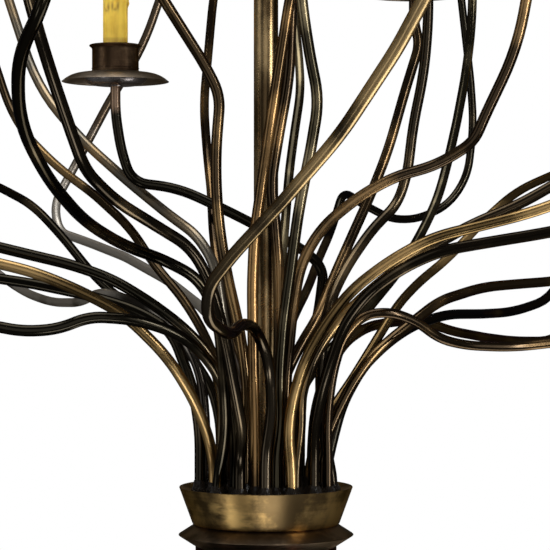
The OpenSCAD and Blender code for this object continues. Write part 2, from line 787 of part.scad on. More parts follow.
module candle_cups() {
    r = holder_d / 2;
    lip = holder_lip_d / 2;
    bead = 0.8;
    color(bronze)
        at_lights()
            translate([0, 0, pan_top])
                rotate_extrude()
                    polygon([
                        [stud_d / 2 + fit, 0], [r, 0], [r + bead, 1], [r + bead, 2], [r, 3],
                        [r, holder_h - 4], [lip, holder_h - 1.5], [lip, holder_h],
                        [lip - holder_wall, holder_h], [r - holder_wall, holder_h - 4],
                        [r - holder_wall, holder_floor], [stud_d / 2 + fit, holder_floor]]);
}

module cup_studs() {
    color(brass)
        at_lights()
            translate([0, 0, stud_z])
                ring(stud_d, stud_bore_d, sleeve_z + socket_grip - stud_z - clearance);
}

module lamp_sockets() {
    color(dark_bronze)
        at_lights()
            translate([0, 0, sleeve_z])
                difference() {
                    cylinder(d = lamp_d, h = lamp_top - sleeve_z);
                    translate([0, 0, -1])
                        cylinder(d = stud_d + 2 * fit, h = socket_grip + 1);
                    translate([0, 0, bulb_z - sleeve_z - clearance])
                        cylinder(d = bulb_base_d + 2 * clearance, h = bulb_base_h + 1);
                }
}

module candle_sleeves() {
    color(wax)
        at_lights()
            translate([0, 0, sleeve_z])
                ring(sleeve_d, sleeve_d - 2 * sleeve_wall, sleeve_h);
}

// Half width of the flame-shaped glass at a share t of its height
function flame(t) = max(t < 0.5 ? glass_neck : 0, bulb_d / 2 * pow(sin(180 * pow(t, 0.7)), 0.85));

module bulb(i) {
    color(glass)
        at_light(i)
            translate([0, 0, bulb_z]) {
                cylinder(d = bulb_base_d, h = bulb_base_h + lap);
                translate([0, 0, bulb_base_h])
                    rotate_extrude()
                        polygon(concat(
                            [[0, 0]],
                            [for (t = [0 : 0.07 : 0.98]) [flame(t), bulb_h * t]],
                            [[0, bulb_h]]));
            }
}

canopy();
crossbar();
hanger_nipple();
canopy_collar();
swivel_yoke();
swivel_cross();
stem_yoke();
center_pole();
socket_plate();
hub_cup();
flange_disc();
turned_body();
tie_rod();
finial();
arm_bosses();
drip_pans();
candle_cups();
cup_studs();
lamp_sockets();
candle_sleeves();
for (i = [1 : light_n])
    candle_arm(BRANCHES[i - 1]);
for (i = [1 : branch_n])
    branch(BRANCHES[light_n + i - 1]);
for (i = [1 : light_n])
    bulb(i);
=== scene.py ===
import json
import math
import random

import bmesh
import bpy
from mathutils import Matrix, Vector, noise

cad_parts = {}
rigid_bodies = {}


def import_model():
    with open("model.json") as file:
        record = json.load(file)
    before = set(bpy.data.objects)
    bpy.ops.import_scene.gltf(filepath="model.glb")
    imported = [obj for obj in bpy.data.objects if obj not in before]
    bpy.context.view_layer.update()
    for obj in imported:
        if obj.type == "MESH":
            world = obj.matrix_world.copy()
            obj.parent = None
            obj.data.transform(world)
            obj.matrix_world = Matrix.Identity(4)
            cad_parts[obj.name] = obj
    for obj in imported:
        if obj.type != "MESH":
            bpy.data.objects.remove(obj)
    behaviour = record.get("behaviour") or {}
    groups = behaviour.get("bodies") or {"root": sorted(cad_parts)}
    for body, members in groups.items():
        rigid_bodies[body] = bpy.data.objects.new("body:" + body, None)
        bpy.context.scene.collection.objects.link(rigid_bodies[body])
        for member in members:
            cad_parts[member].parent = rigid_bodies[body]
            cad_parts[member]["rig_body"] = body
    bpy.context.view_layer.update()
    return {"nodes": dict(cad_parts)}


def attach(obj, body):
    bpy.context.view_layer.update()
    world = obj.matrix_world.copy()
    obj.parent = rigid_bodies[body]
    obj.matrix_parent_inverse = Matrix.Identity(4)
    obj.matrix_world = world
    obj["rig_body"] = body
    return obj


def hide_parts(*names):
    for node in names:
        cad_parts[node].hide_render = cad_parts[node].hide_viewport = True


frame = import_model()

mm = 0.001
hubRim = Vector((0, 0, -0.9))          # the cup's rim, from which the routes are given
print("frame loaded")

cameraSetup = {"place": (0.009, -2.1, -0.689), "lens": 137.45, "sensor": 36.0}
cameraData = bpy.data.cameras.new("camera")
cameraData.lens = cameraSetup["lens"]
cameraData.sensor_width = cameraSetup["sensor"]
camera = bpy.data.objects.new("camera", cameraData)
camera.location = cameraSetup["place"]
camera.rotation_euler = (math.pi / 2, 0, 0)
bpy.context.scene.collection.objects.link(camera)
bpy.context.scene.camera = camera
bpy.context.scene.view_settings.view_transform = "Standard"


class Wire:                                # an output socket with the sums that are used on it
    def __init__(self, board, socket):
        self.board = board
        self.socket = socket

    def sum(self, operation, *values):
        return self.board.add("ShaderNodeMath", {"operation": operation}, dict(enumerate(values)))

    def __add__(self, other):
        return self.sum("ADD", self, other)

    def __sub__(self, other):
        return self.sum("SUBTRACT", self, other)

    def __rsub__(self, other):
        return self.sum("SUBTRACT", other, self)

    def __mul__(self, other):
        return self.sum("MULTIPLY", self, other)

    __radd__ = __add__
    __rmul__ = __mul__


class Board:                               # a node tree and the one way to add a node to it
    def __init__(self, tree):
        self.tree = tree

    def join(self, socket, value):
        if isinstance(value, Wire):
            self.tree.links.new(value.socket, socket)
        else:
            socket.default_value = value

    def add(self, kind, settings=None, inputs=None, out=0):
        node = self.tree.nodes.new(kind)
        for key, value in (settings or {}).items():
            setattr(node, key, value)
        for key, value in (inputs or {}).items():
            self.join(node.inputs[key], value)
        return Wire(self, node.outputs[out])

    def places(self, stretch=(1, 1, 1)):   # where a point lies on the piece, stretched
        source = self.add("ShaderNodeTexCoord", out="Object")
        return self.add("ShaderNodeMapping", {}, {"Vector": source, "Scale": stretch})

    def rays(self, kind):
        return self.add("ShaderNodeLightPath", out=kind)

    def clouds(self, vector, scale, detail=3.0, rough=0.55):
        return self.add("ShaderNodeTexNoise", {}, {
            "Vector": vector, "Scale": scale, "Detail": detail, "Roughness": rough})

    def step(self, value, low, high):      # smoothly from 0 at low to 1 at high
        return self.add("ShaderNodeMapRange", {"interpolation_type": "SMOOTHSTEP"}, {
            "Value": value, "From Min": low, "From Max": high})

    def blend(self, factor, first, second):
        return self.add("ShaderNodeMix", {"data_type": "RGBA"}, {0: factor, 6: first, 7: second}, out=2)

    def bump(self, height, strength, distance):
        return self.add("ShaderNodeBump", {}, {
            "Height": height, "Strength": strength, "Distance": distance})


def rgba(colour):
    return (*colour, 1.0)


def newFinish(name, **constants):
    material = bpy.data.materials.new(name)
    material.use_nodes = True
    shader = material.node_tree.nodes["Principled BSDF"]
    for key, value in constants.items():
        shader.inputs[key.replace("_", " ")].default_value = value
    return material, shader, Board(material.node_tree)


lightSetup = {
    # name: place, aim, width, height, radiance
    "keyStrip": ((1.95, -1.65, -0.45), (0, 0, -0.6), 0.20, 2.6, 15.0),
    "softRight": ((2.22, -1.80, -0.45), (0, 0, -0.6), 1.60, 2.6, 0.9),
    "softFront": ((0.10, -2.85, -0.45), (0, 0, -0.6), 2.60, 2.4, 0.45),
    "softLeft": ((-2.20, -0.95, -0.45), (0, 0, -0.6), 1.10, 2.6, 0.6),
    "overhead": ((-0.20, -0.25, 2.0), (-0.2, -0.25, 0), 2.0, 1.8, 2.2),
    "under": ((0.14, -1.35, -2.25), (0, 0, -0.9), 0.9, 0.5, 4.5),
    "lowLeft": ((-1.45, -0.85, -2.25), (0, -0.08, -0.92), 0.45, 0.35, 2.4),
    "lowRight": ((0.75, 0.35, -2.30), (0.75, 0.35, 0), 0.9, 0.9, 3.0),
}
for name, (place, aim, width, height, radiance) in lightSetup.items():
    lamp = bpy.data.lights.new(name, "AREA")
    lamp.shape = "RECTANGLE"
    lamp.size = width
    lamp.size_y = height
    lamp.energy = radiance * math.pi * width * height
    lampObject = bpy.data.objects.new(name, lamp)
    lampObject.location = place
    look = Vector(aim) - Vector(place)
    lampObject.rotation_euler = look.to_track_quat("-Z", "Y").to_euler()
    lampObject.visible_camera = False
    bpy.context.scene.collection.objects.link(lampObject)

worldSetup = {"glossy": 0.10, "ambient": 0.85}         # a ray that is seen or goes through glass gets 1
world = bpy.data.worlds.new("studio")
bpy.context.scene.world = world
world.use_nodes = True
studio = Board(world.node_tree)
background = world.node_tree.nodes["Background"]
direct = studio.rays("Is Camera Ray") + studio.rays("Is Transmission Ray")
glossy = studio.rays("Is Glossy Ray")
plain = (1 - direct) * (1 - glossy)
studio.join(background.inputs["Strength"],
            direct + glossy * worldSetup["glossy"] + plain * worldSetup["ambient"])
background.inputs["Color"].default_value = rgba((1, 1, 1))

floorSetup = {"half": 10.0, "height": -2.4, "tone": 0.85, "glossyTone": 0.07, "rough": 0.9, "glow": 0.28}
floorForm = bmesh.new()
bmesh.ops.create_grid(floorForm, x_segments=1, y_segments=1, size=floorSetup["half"],
                      matrix=Matrix.Translation((0, 0, floorSetup["height"])))
floorMesh = bpy.data.meshes.new("floor")
floorForm.to_mesh(floorMesh)
floorForm.free()
floor = bpy.data.objects.new("floor", floorMesh)
bpy.context.scene.collection.objects.link(floor)
floorPaint, floorShader, floorBoard = newFinish(
    "floorPaint", Roughness=floorSetup["rough"], Emission_Color=rgba((1, 1, 1)))
floorBoard.join(floorShader.inputs["Emission Strength"],
                floorBoard.rays("Is Camera Ray") * floorSetup["glow"])
floorBoard.join(floorShader.inputs["Base Color"], floorBoard.blend(
    floorBoard.rays("Is Glossy Ray"),
    rgba((floorSetup["tone"],) * 3), rgba((floorSetup["glossyTone"],) * 3)))
oneSided = floorBoard.add("ShaderNodeMixShader", {}, {      # clear when seen from underneath
    0: floorBoard.add("ShaderNodeNewGeometry", out="Backfacing"),
    1: Wire(floorBoard, floorShader.outputs["BSDF"]),
    2: floorBoard.add("ShaderNodeBsdfTransparent")})
floorBoard.join(floorPaint.node_tree.nodes["Material Output"].inputs["Surface"], oneSided)
floorMesh.materials.append(floorPaint)
print("camera, light and floor made")

rodTones = {
    # name: dark patina, worn bronze, how much is worn, roughness of dark and of worn,
    # heights in metres between which the worn colour sets in; below them most tones stay dark, painted
    # shade of the crowded rods round the cup
    "gold": ((0.17, 0.108, 0.040), (0.66, 0.435, 0.180), 0.72, 0.19, 0.33, (-1.2, -1.0)),
    "glint": ((0.070, 0.050, 0.028), (0.68, 0.450, 0.195), 0.75, 0.16, 0.33, (-0.88, -0.74)),
    "rising": ((0.085, 0.066, 0.043), (0.76, 0.535, 0.255), 0.90, 0.17, 0.33, (-0.72, -0.58)),
    "amber": ((0.11, 0.068, 0.030), (0.50, 0.295, 0.118), 0.60, 0.16, 0.31, (-1.0, -0.80)),
    "bronze": ((0.085, 0.056, 0.028), (0.58, 0.370, 0.158), 0.62, 0.16, 0.31, (-0.88, -0.62)),
    "brown": ((0.060, 0.040, 0.022), (0.44, 0.275, 0.122), 0.52, 0.16, 0.31, (-0.88, -0.62)),
    "deep": ((0.038, 0.029, 0.018), (0.24, 0.175, 0.098), 0.45, 0.16, 0.31, (-0.88, -0.70)),
    "olive": ((0.052, 0.044, 0.026), (0.38, 0.310, 0.180), 0.48, 0.16, 0.31, (-0.88, -0.62)),
    "black": ((0.026, 0.022, 0.014), (0.17, 0.130, 0.075), 0.35, 0.15, 0.28, (-0.90, -0.75)),
    "sooty": ((0.026, 0.022, 0.014), (0.40, 0.270, 0.185), 1.30, 0.15, 0.30, (-0.515, -0.495)),
    "fading": ((0.30, 0.270, 0.215), (0.66, 0.46, 0.24), 0.75, 0.30, 0.34, (-0.66, -0.56)),
    "smoke": ((0.80, 0.75, 0.67), (0.20, 0.145, 0.095), 1.10, 0.42, 0.28, (-0.62, -0.54)),
    "grey": ((0.060, 0.050, 0.040), (0.70, 0.65, 0.57), 1.00, 0.16, 0.42, (-0.775, -0.725)),
}
rodSurface = {
    "coat": 0.16, "coatRough": 0.12, "coatTint": (1.0, 0.95, 0.86), "edgeTint": (0.28, 0.21, 0.14),
    "patchScale": 10.0, "grainScale": 70.0, "patchPart": 0.9, "grainPart": 0.1,
    "wearFrom": 0.66, "wearTo": 0.84, "moreWear": 0.35,     # the wear's limits, lower where more is worn
    "ragged": 0.16, "raggedShift": 0.08,                    # how uneven the edge of the painted base shade is, and how far that edge is raised
    "grainRough": 0.04,
}


def rodBronze(name, dark, worn, share, darkRough, wornRough, baseShadeHeights):
    look = rodSurface
    material, shader, board = newFinish(
        name, Metallic=1.0, Coat_Weight=look["coat"], Coat_Roughness=look["coatRough"],
        Specular_Tint=rgba(look["edgeTint"]), Coat_Tint=rgba(look["coatTint"]))
    place = board.places()
    height = board.add("ShaderNodeSeparateXYZ", {}, {"Vector": place}, out="Z")
    patches = board.clouds(place, look["patchScale"], 2.0, 0.5)
    grain = board.clouds(place, look["grainScale"], 2.0)
    more = look["moreWear"] * share
    wear = board.step(patches * look["patchPart"] + grain * look["grainPart"],
                      look["wearFrom"] - more, look["wearTo"] - more)
    # painted shade: the worn colour is held back below the tone's heights, so the rods darken towards the
    # crowded feet at the cup
    wear = wear * board.step(height + patches * look["ragged"],
                             baseShadeHeights[0] + look["raggedShift"], baseShadeHeights[1] + look["raggedShift"])
    board.join(shader.inputs["Base Color"], board.blend(wear, rgba(dark), rgba(worn)))
    board.join(shader.inputs["Roughness"], grain * look["grainRough"] + (
        wear * (wornRough - darkRough) + (darkRough - look["grainRough"] / 2)))
    return material


rodFinish = {tone: rodBronze(tone + "Bronze", *values) for tone, values in rodTones.items()}

turnedTones = {
    # name: dark, light, share of light, roughness, ring lines per metre
    "cupBronze": ((0.17, 0.112, 0.048), (0.60, 0.385, 0.140), 0.58, 0.32, 420.0),
    "discBronze": ((0.13, 0.098, 0.066), (0.32, 0.235, 0.155), 0.5, 0.32, 700.0),
    "panBronze": ((0.28, 0.220, 0.160), (0.60, 0.500, 0.385), 0.5, 0.34, 700.0),
    "holderBronze": ((0.090, 0.054, 0.031), (0.27, 0.175, 0.100), 0.5, 0.34, 900.0),
    # the dish's pale purple-grey is a painted reflection of the white floor below it
    "dishPaintedReflection": ((0.30, 0.270, 0.260), (0.60, 0.560, 0.550), 0.5, 0.26, 700.0),
    "oxbloodBronze": ((0.035, 0.014, 0.012), (0.085, 0.030, 0.024), 0.5, 0.22, 500.0),
}
turnedSurface = {
    "edgeTint": (0.45, 0.38, 0.30),
    "patchScale": 22.0, "streakWidth": 6.0, "speckScale": 420.0, "patchPart": 0.88, "streakPart": 0.12,
    "wearFrom": 0.60, "wearTo": 0.80, "moreWear": 0.3,      # the wear's limits, lower where more is light
    "streakRough": 0.12, "speckRough": 0.06,
    "streakBump": 0.7, "speckBump": 0.3, "bump": 0.06, "bumpDepth": 0.0005,
}
paintedHighlights = {
    # place and reach in metres of each painted highlight, a gold reflection painted onto the cup
    "cupBronze": [((-0.030, -0.072, -0.927), 0.026), ((-0.050, -0.064, -0.914), 0.013)],
}
paintedHighlightLook = {"tone": (1.0, 0.66, 0.24), "highlightBreakup": (60.0, 60.0, 260.0), "ragged": 0.9,
                 "outside": 1.25, "inside": 0.55}           # shares of the reach


# painted highlight: gold reflection spots laid over the colour, their edges broken up by noise
def paintHighlightSpots(board, place, colour, spots):
    look = paintedHighlightLook
    highlightBreakup = board.clouds(board.places(look["highlightBreakup"]), 1.0, 3.0, 0.6)
    bright = 0
    for spot, reach in spots:
        away = board.add("ShaderNodeVectorMath", {"operation": "DISTANCE"}, {0: place, 1: spot}, "Value")
        bright = bright + board.step(away + highlightBreakup * (look["ragged"] * reach),
                                     look["outside"] * reach, look["inside"] * reach)
    return board.blend(bright, colour, rgba(look["tone"]))


def turnedBronze(name, dark, light, share, rough, rings):
    look = turnedSurface
    material, shader, board = newFinish(name, Metallic=1.0, Specular_Tint=rgba(look["edgeTint"]))
    place = board.places()
    patches = board.clouds(place, look["patchScale"], 5.0, 0.62)
    streaks = board.clouds(board.places((look["streakWidth"], look["streakWidth"], rings)), 1.0, 3.0, 0.6)
    specks = board.clouds(place, look["speckScale"], 2.0)
    more = look["moreWear"] * share
    wear = board.step(patches * look["patchPart"] + streaks * look["streakPart"],
                      look["wearFrom"] - more, look["wearTo"] - more)
    colour = board.blend(wear, rgba(dark), rgba(light))
    # painted highlight on the cup
    if name in paintedHighlights:
        colour = paintHighlightSpots(board, place, colour, paintedHighlights[name])
    middle = (look["streakRough"] + look["speckRough"]) / 2
    board.join(shader.inputs["Base Color"], colour)
    board.join(shader.inputs["Roughness"], streaks * look["streakRough"] + (
        specks * look["speckRough"] + rough - middle))
    board.join(shader.inputs["Normal"], board.bump(
        streaks * look["streakBump"] + specks * look["speckBump"], look["bump"], look["bumpDepth"]))
    return material


turnedFinish = {tone: turnedBronze(tone, *values) for tone, values in turnedTones.items()}


poleSurface = {
    "dark": (0.13, 0.085, 0.040), "light": (0.62, 0.44, 0.22), "edgeTint": (0.40, 0.32, 0.24),
    "patchScale": 26.0, "patchStretch": (1.0, 1.0, 0.35), "speckScale": 240.0,
    "wearFrom": 0.40, "wearTo": 0.62, "rough": 0.16, "patchRough": 0.12, "speckRough": 0.10,
}


def wornGold():                            # polished bronze of the pole and the ceiling fittings
    look = poleSurface
    material, shader, board = newFinish("poleBronze", Metallic=1.0, Specular_Tint=rgba(look["edgeTint"]))
    patches = board.clouds(board.places(look["patchStretch"]), look["patchScale"], 4.0, 0.6)
    specks = board.clouds(board.places(), look["speckScale"], 2.0)
    wear = board.step(patches, look["wearFrom"], look["wearTo"])
    board.join(shader.inputs["Base Color"], board.blend(wear, rgba(look["dark"]), rgba(look["light"])))
    board.join(shader.inputs["Roughness"], specks * look["speckRough"] + (
        patches * look["patchRough"] + look["rough"]))
    return material


metalSurface = {"speckScale": 180.0, "speckRough": 0.2}


def plainMetal(name, dark, light, rough):
    look = metalSurface
    material, shader, board = newFinish(name, Metallic=1.0)
    specks = board.clouds(board.places(), look["speckScale"], 3.0)
    board.join(shader.inputs["Base Color"], board.blend(specks, rgba(dark), rgba(light)))
    board.join(shader.inputs["Roughness"], specks * look["speckRough"] + (rough - look["speckRough"] / 2))
    return material


waxSurface = {
    "soft": 0.25, "softDepth": 0.004, "softTint": (1.0, 0.55, 0.18),
    "streakScale": 120.0, "streakLength": 0.12, "patchScale": 45.0, "streakPart": 0.6, "patchPart": 0.4,
    # on the next line, the last colour is the brown of the painted drip shade and of the low band
    "deep": (0.62, 0.37, 0.025), "light": (0.86, 0.58, 0.060), "glaze": (0.16, 0.075, 0.012),
    "toneFrom": 0.36, "toneTo": 0.64, "rough": 0.28, "patchRough": 0.25, "bump": 0.25, "bumpDepth": 0.0012,
}


def amberWax():                            # yellow wax, browned where the vertex layer says so: painted shade round the drips' ends and tips, and a browner band low on the sleeve
    look = waxSurface
    material, shader, board = newFinish(
        "amberWax", Subsurface_Weight=look["soft"], Subsurface_Scale=look["softDepth"],
        Subsurface_Radius=look["softTint"])
    streaks = board.clouds(board.places((1.0, 1.0, look["streakLength"])), look["streakScale"], 3.0, 0.6)
    patches = board.clouds(board.places(), look["patchScale"], 3.0)
    mottle = streaks * look["streakPart"] + patches * look["patchPart"]
    yellow = board.blend(board.step(mottle, look["toneFrom"], look["toneTo"]),
                         rgba(look["deep"]), rgba(look["light"]))
    glaze = board.add("ShaderNodeAttribute", {"attribute_name": "glaze"}, out="Fac")
    board.join(shader.inputs["Base Color"], board.blend(glaze, yellow, rgba(look["glaze"])))
    board.join(shader.inputs["Roughness"], patches * look["patchRough"] + look["rough"])
    board.join(shader.inputs["Normal"], board.bump(mottle, look["bump"], look["bumpDepth"]))
    return material


settingSurface = {
    "dark": (0.003, 0.0025, 0.002), "light": (0.014, 0.010, 0.007), "shine": 0.22, "lumpScale": 150.0,
    "rough": 0.03, "lumpRough": 0.14, "bump": 0.9, "bumpDepth": 0.0015,
}


def blackSetting():                        # the glossy black mass in which the rods are set
    look = settingSurface
    material, shader, board = newFinish("blackSetting", Specular_IOR_Level=look["shine"])
    lumps = board.clouds(board.places(), look["lumpScale"], 4.0, 0.6)
    board.join(shader.inputs["Base Color"], board.blend(lumps, rgba(look["dark"]), rgba(look["light"])))
    board.join(shader.inputs["Roughness"], lumps * look["lumpRough"] + look["rough"])
    board.join(shader.inputs["Normal"], board.bump(lumps, look["bump"], look["bumpDepth"]))
    return material


glassSurface = {"bend": 1.45, "hazy": (0.97, 0.97, 0.95), "clear": (1.0, 1.0, 1.0),
                "hazeScale": 60.0, "hazeRough": 0.02}


def clearGlass():
    look = glassSurface
    material, shader, board = newFinish("clearGlass", Transmission_Weight=1.0, IOR=look["bend"])
    haze = board.clouds(board.places(), look["hazeScale"], 2.0)
    board.join(shader.inputs["Base Color"], board.blend(haze, rgba(look["hazy"]), rgba(look["clear"])))
    board.join(shader.inputs["Roughness"], haze * look["hazeRough"])
    return material


mouldingSurface = {"dark": (0.02, 0.018, 0.016), "light": (0.05, 0.045, 0.04),
                   "grainScale": 300.0, "rough": 0.4, "grainRough": 0.2}


def darkMoulding():                        # of the lamp sockets
    look = mouldingSurface
    material, shader, board = newFinish("darkMoulding")
    grain = board.clouds(board.places(), look["grainScale"], 3.0)
    board.join(shader.inputs["Base Color"], board.blend(grain, rgba(look["dark"]), rgba(look["light"])))
    board.join(shader.inputs["Roughness"], grain * look["grainRough"] + look["rough"])
    return material


poleBronze = wornGold()
zincSteel = plainMetal("zincSteel", (0.42, 0.42, 0.40), (0.62, 0.62, 0.60), 0.35)
lampBrass = plainMetal("lampBrass", (0.55, 0.38, 0.16), (0.78, 0.58, 0.28), 0.25)
filamentWire = plainMetal("filamentWire", (0.25, 0.23, 0.21), (0.45, 0.42, 0.38), 0.35)
wax = amberWax()
setting = blackSetting()
bulbGlass = clearGlass()
moulding = darkMoulding()
print("materials made")


def addPiece(name, mesh, material, body, replaced=(), sharp=30):
    mesh.name = name
    mesh.materials.clear()
    mesh.materials.append(material)
    mesh.polygons.foreach_set("use_smooth", [True] * len(mesh.polygons))
    mesh.set_sharp_from_angle(angle=math.radians(sharp))
    piece = bpy.data.objects.new(name, mesh)
    bpy.context.scene.collection.objects.link(piece)
    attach(piece, body)
    if replaced:
        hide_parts(*replaced)
    return piece


def formMesh(form, name):                  # the form as a mesh; the form itself is freed
    mesh = bpy.data.meshes.new(name)
    form.to_mesh(mesh)
    form.free()
    return mesh


def finishForm(form, name, material, body, slotName, replaced=(), sharp=30):
    bmesh.ops.remove_doubles(form, verts=form.verts, dist=1e-6)
    bmesh.ops.recalc_face_normals(form, faces=form.faces)
    return addPiece(name, formMesh(form, name), material, body, replaced, sharp)


def lathe(form, profile, centre, steps=96, closed=True):
    # profile: radius and height in mm, round the upright axis through centre
    points = [form.verts.new(centre + Vector((r * mm, 0, z * mm))) for r, z in profile]
    pairs = list(zip(points, points[1:] + (points[:1] if closed else [])))
    edges = [form.edges.new(pair) for pair in pairs]
    bmesh.ops.spin(form, geom=points + edges, cent=centre, axis=(0, 0, 1), angle=2 * math.pi,
                   steps=steps, use_merge=True)


def turnedPiece(name, profile, centres, steps, *looks, replaced=(), sharp=30, closed=True):
    # one piece with the same turned shape at each centre; looks: material, body, slot name, which is not
    # used
    form = bmesh.new()
    for centre in centres:
        lathe(form, profile, centre, steps, closed)
    return finishForm(form, name, *looks, replaced, sharp)


def shifted(points, radius, height):
    return [(radius + r, height + z) for r, z in points]


def newCurve(name, radius, sides):         # a capped round bar, still without a line
    curve = bpy.data.curves.new(name, "CURVE")
    curve.dimensions = "3D"
    curve.bevel_depth = radius
    curve.bevel_resolution = sides
    curve.use_fill_caps = True
    return curve


def curveMesh(curve):
    holder = bpy.data.objects.new(curve.name + "Line", curve)
    bpy.context.scene.collection.objects.link(holder)
    bpy.context.view_layer.update()
    solid = holder.evaluated_get(bpy.context.evaluated_depsgraph_get())
    mesh = bpy.data.meshes.new_from_object(solid)
    bpy.data.objects.remove(holder)
    return mesh


def camelName(node):
    first, *others = node.split("_")
    return first + "".join(word.title() for word in others)


def softened(node, material, sharp=35):
    # a merged, smooth-shaded copy of a CAD node, at its place
    form = bmesh.new()
    form.from_mesh(frame["nodes"][node].data)
    bmesh.ops.remove_doubles(form, verts=form.verts, dist=2e-5)
    body = frame["nodes"][node]["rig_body"]
    return addPiece(camelName(node), formMesh(form, node), material, body, (node,), sharp)


rodSetup = {
    "thick": 5.5, "thin": 5.0,                             # radius
    "outer": 66.0, "inner": 52.5, "core": 36.0,            # radius of each ring of sockets
    "slotAngle": 22.5, "footHeight": -11.7, "bendRadius": 500.0, "straightLeft": 3.0, "chamfer": 2.0,
    "sides": 7, "curveSteps": 6,
}

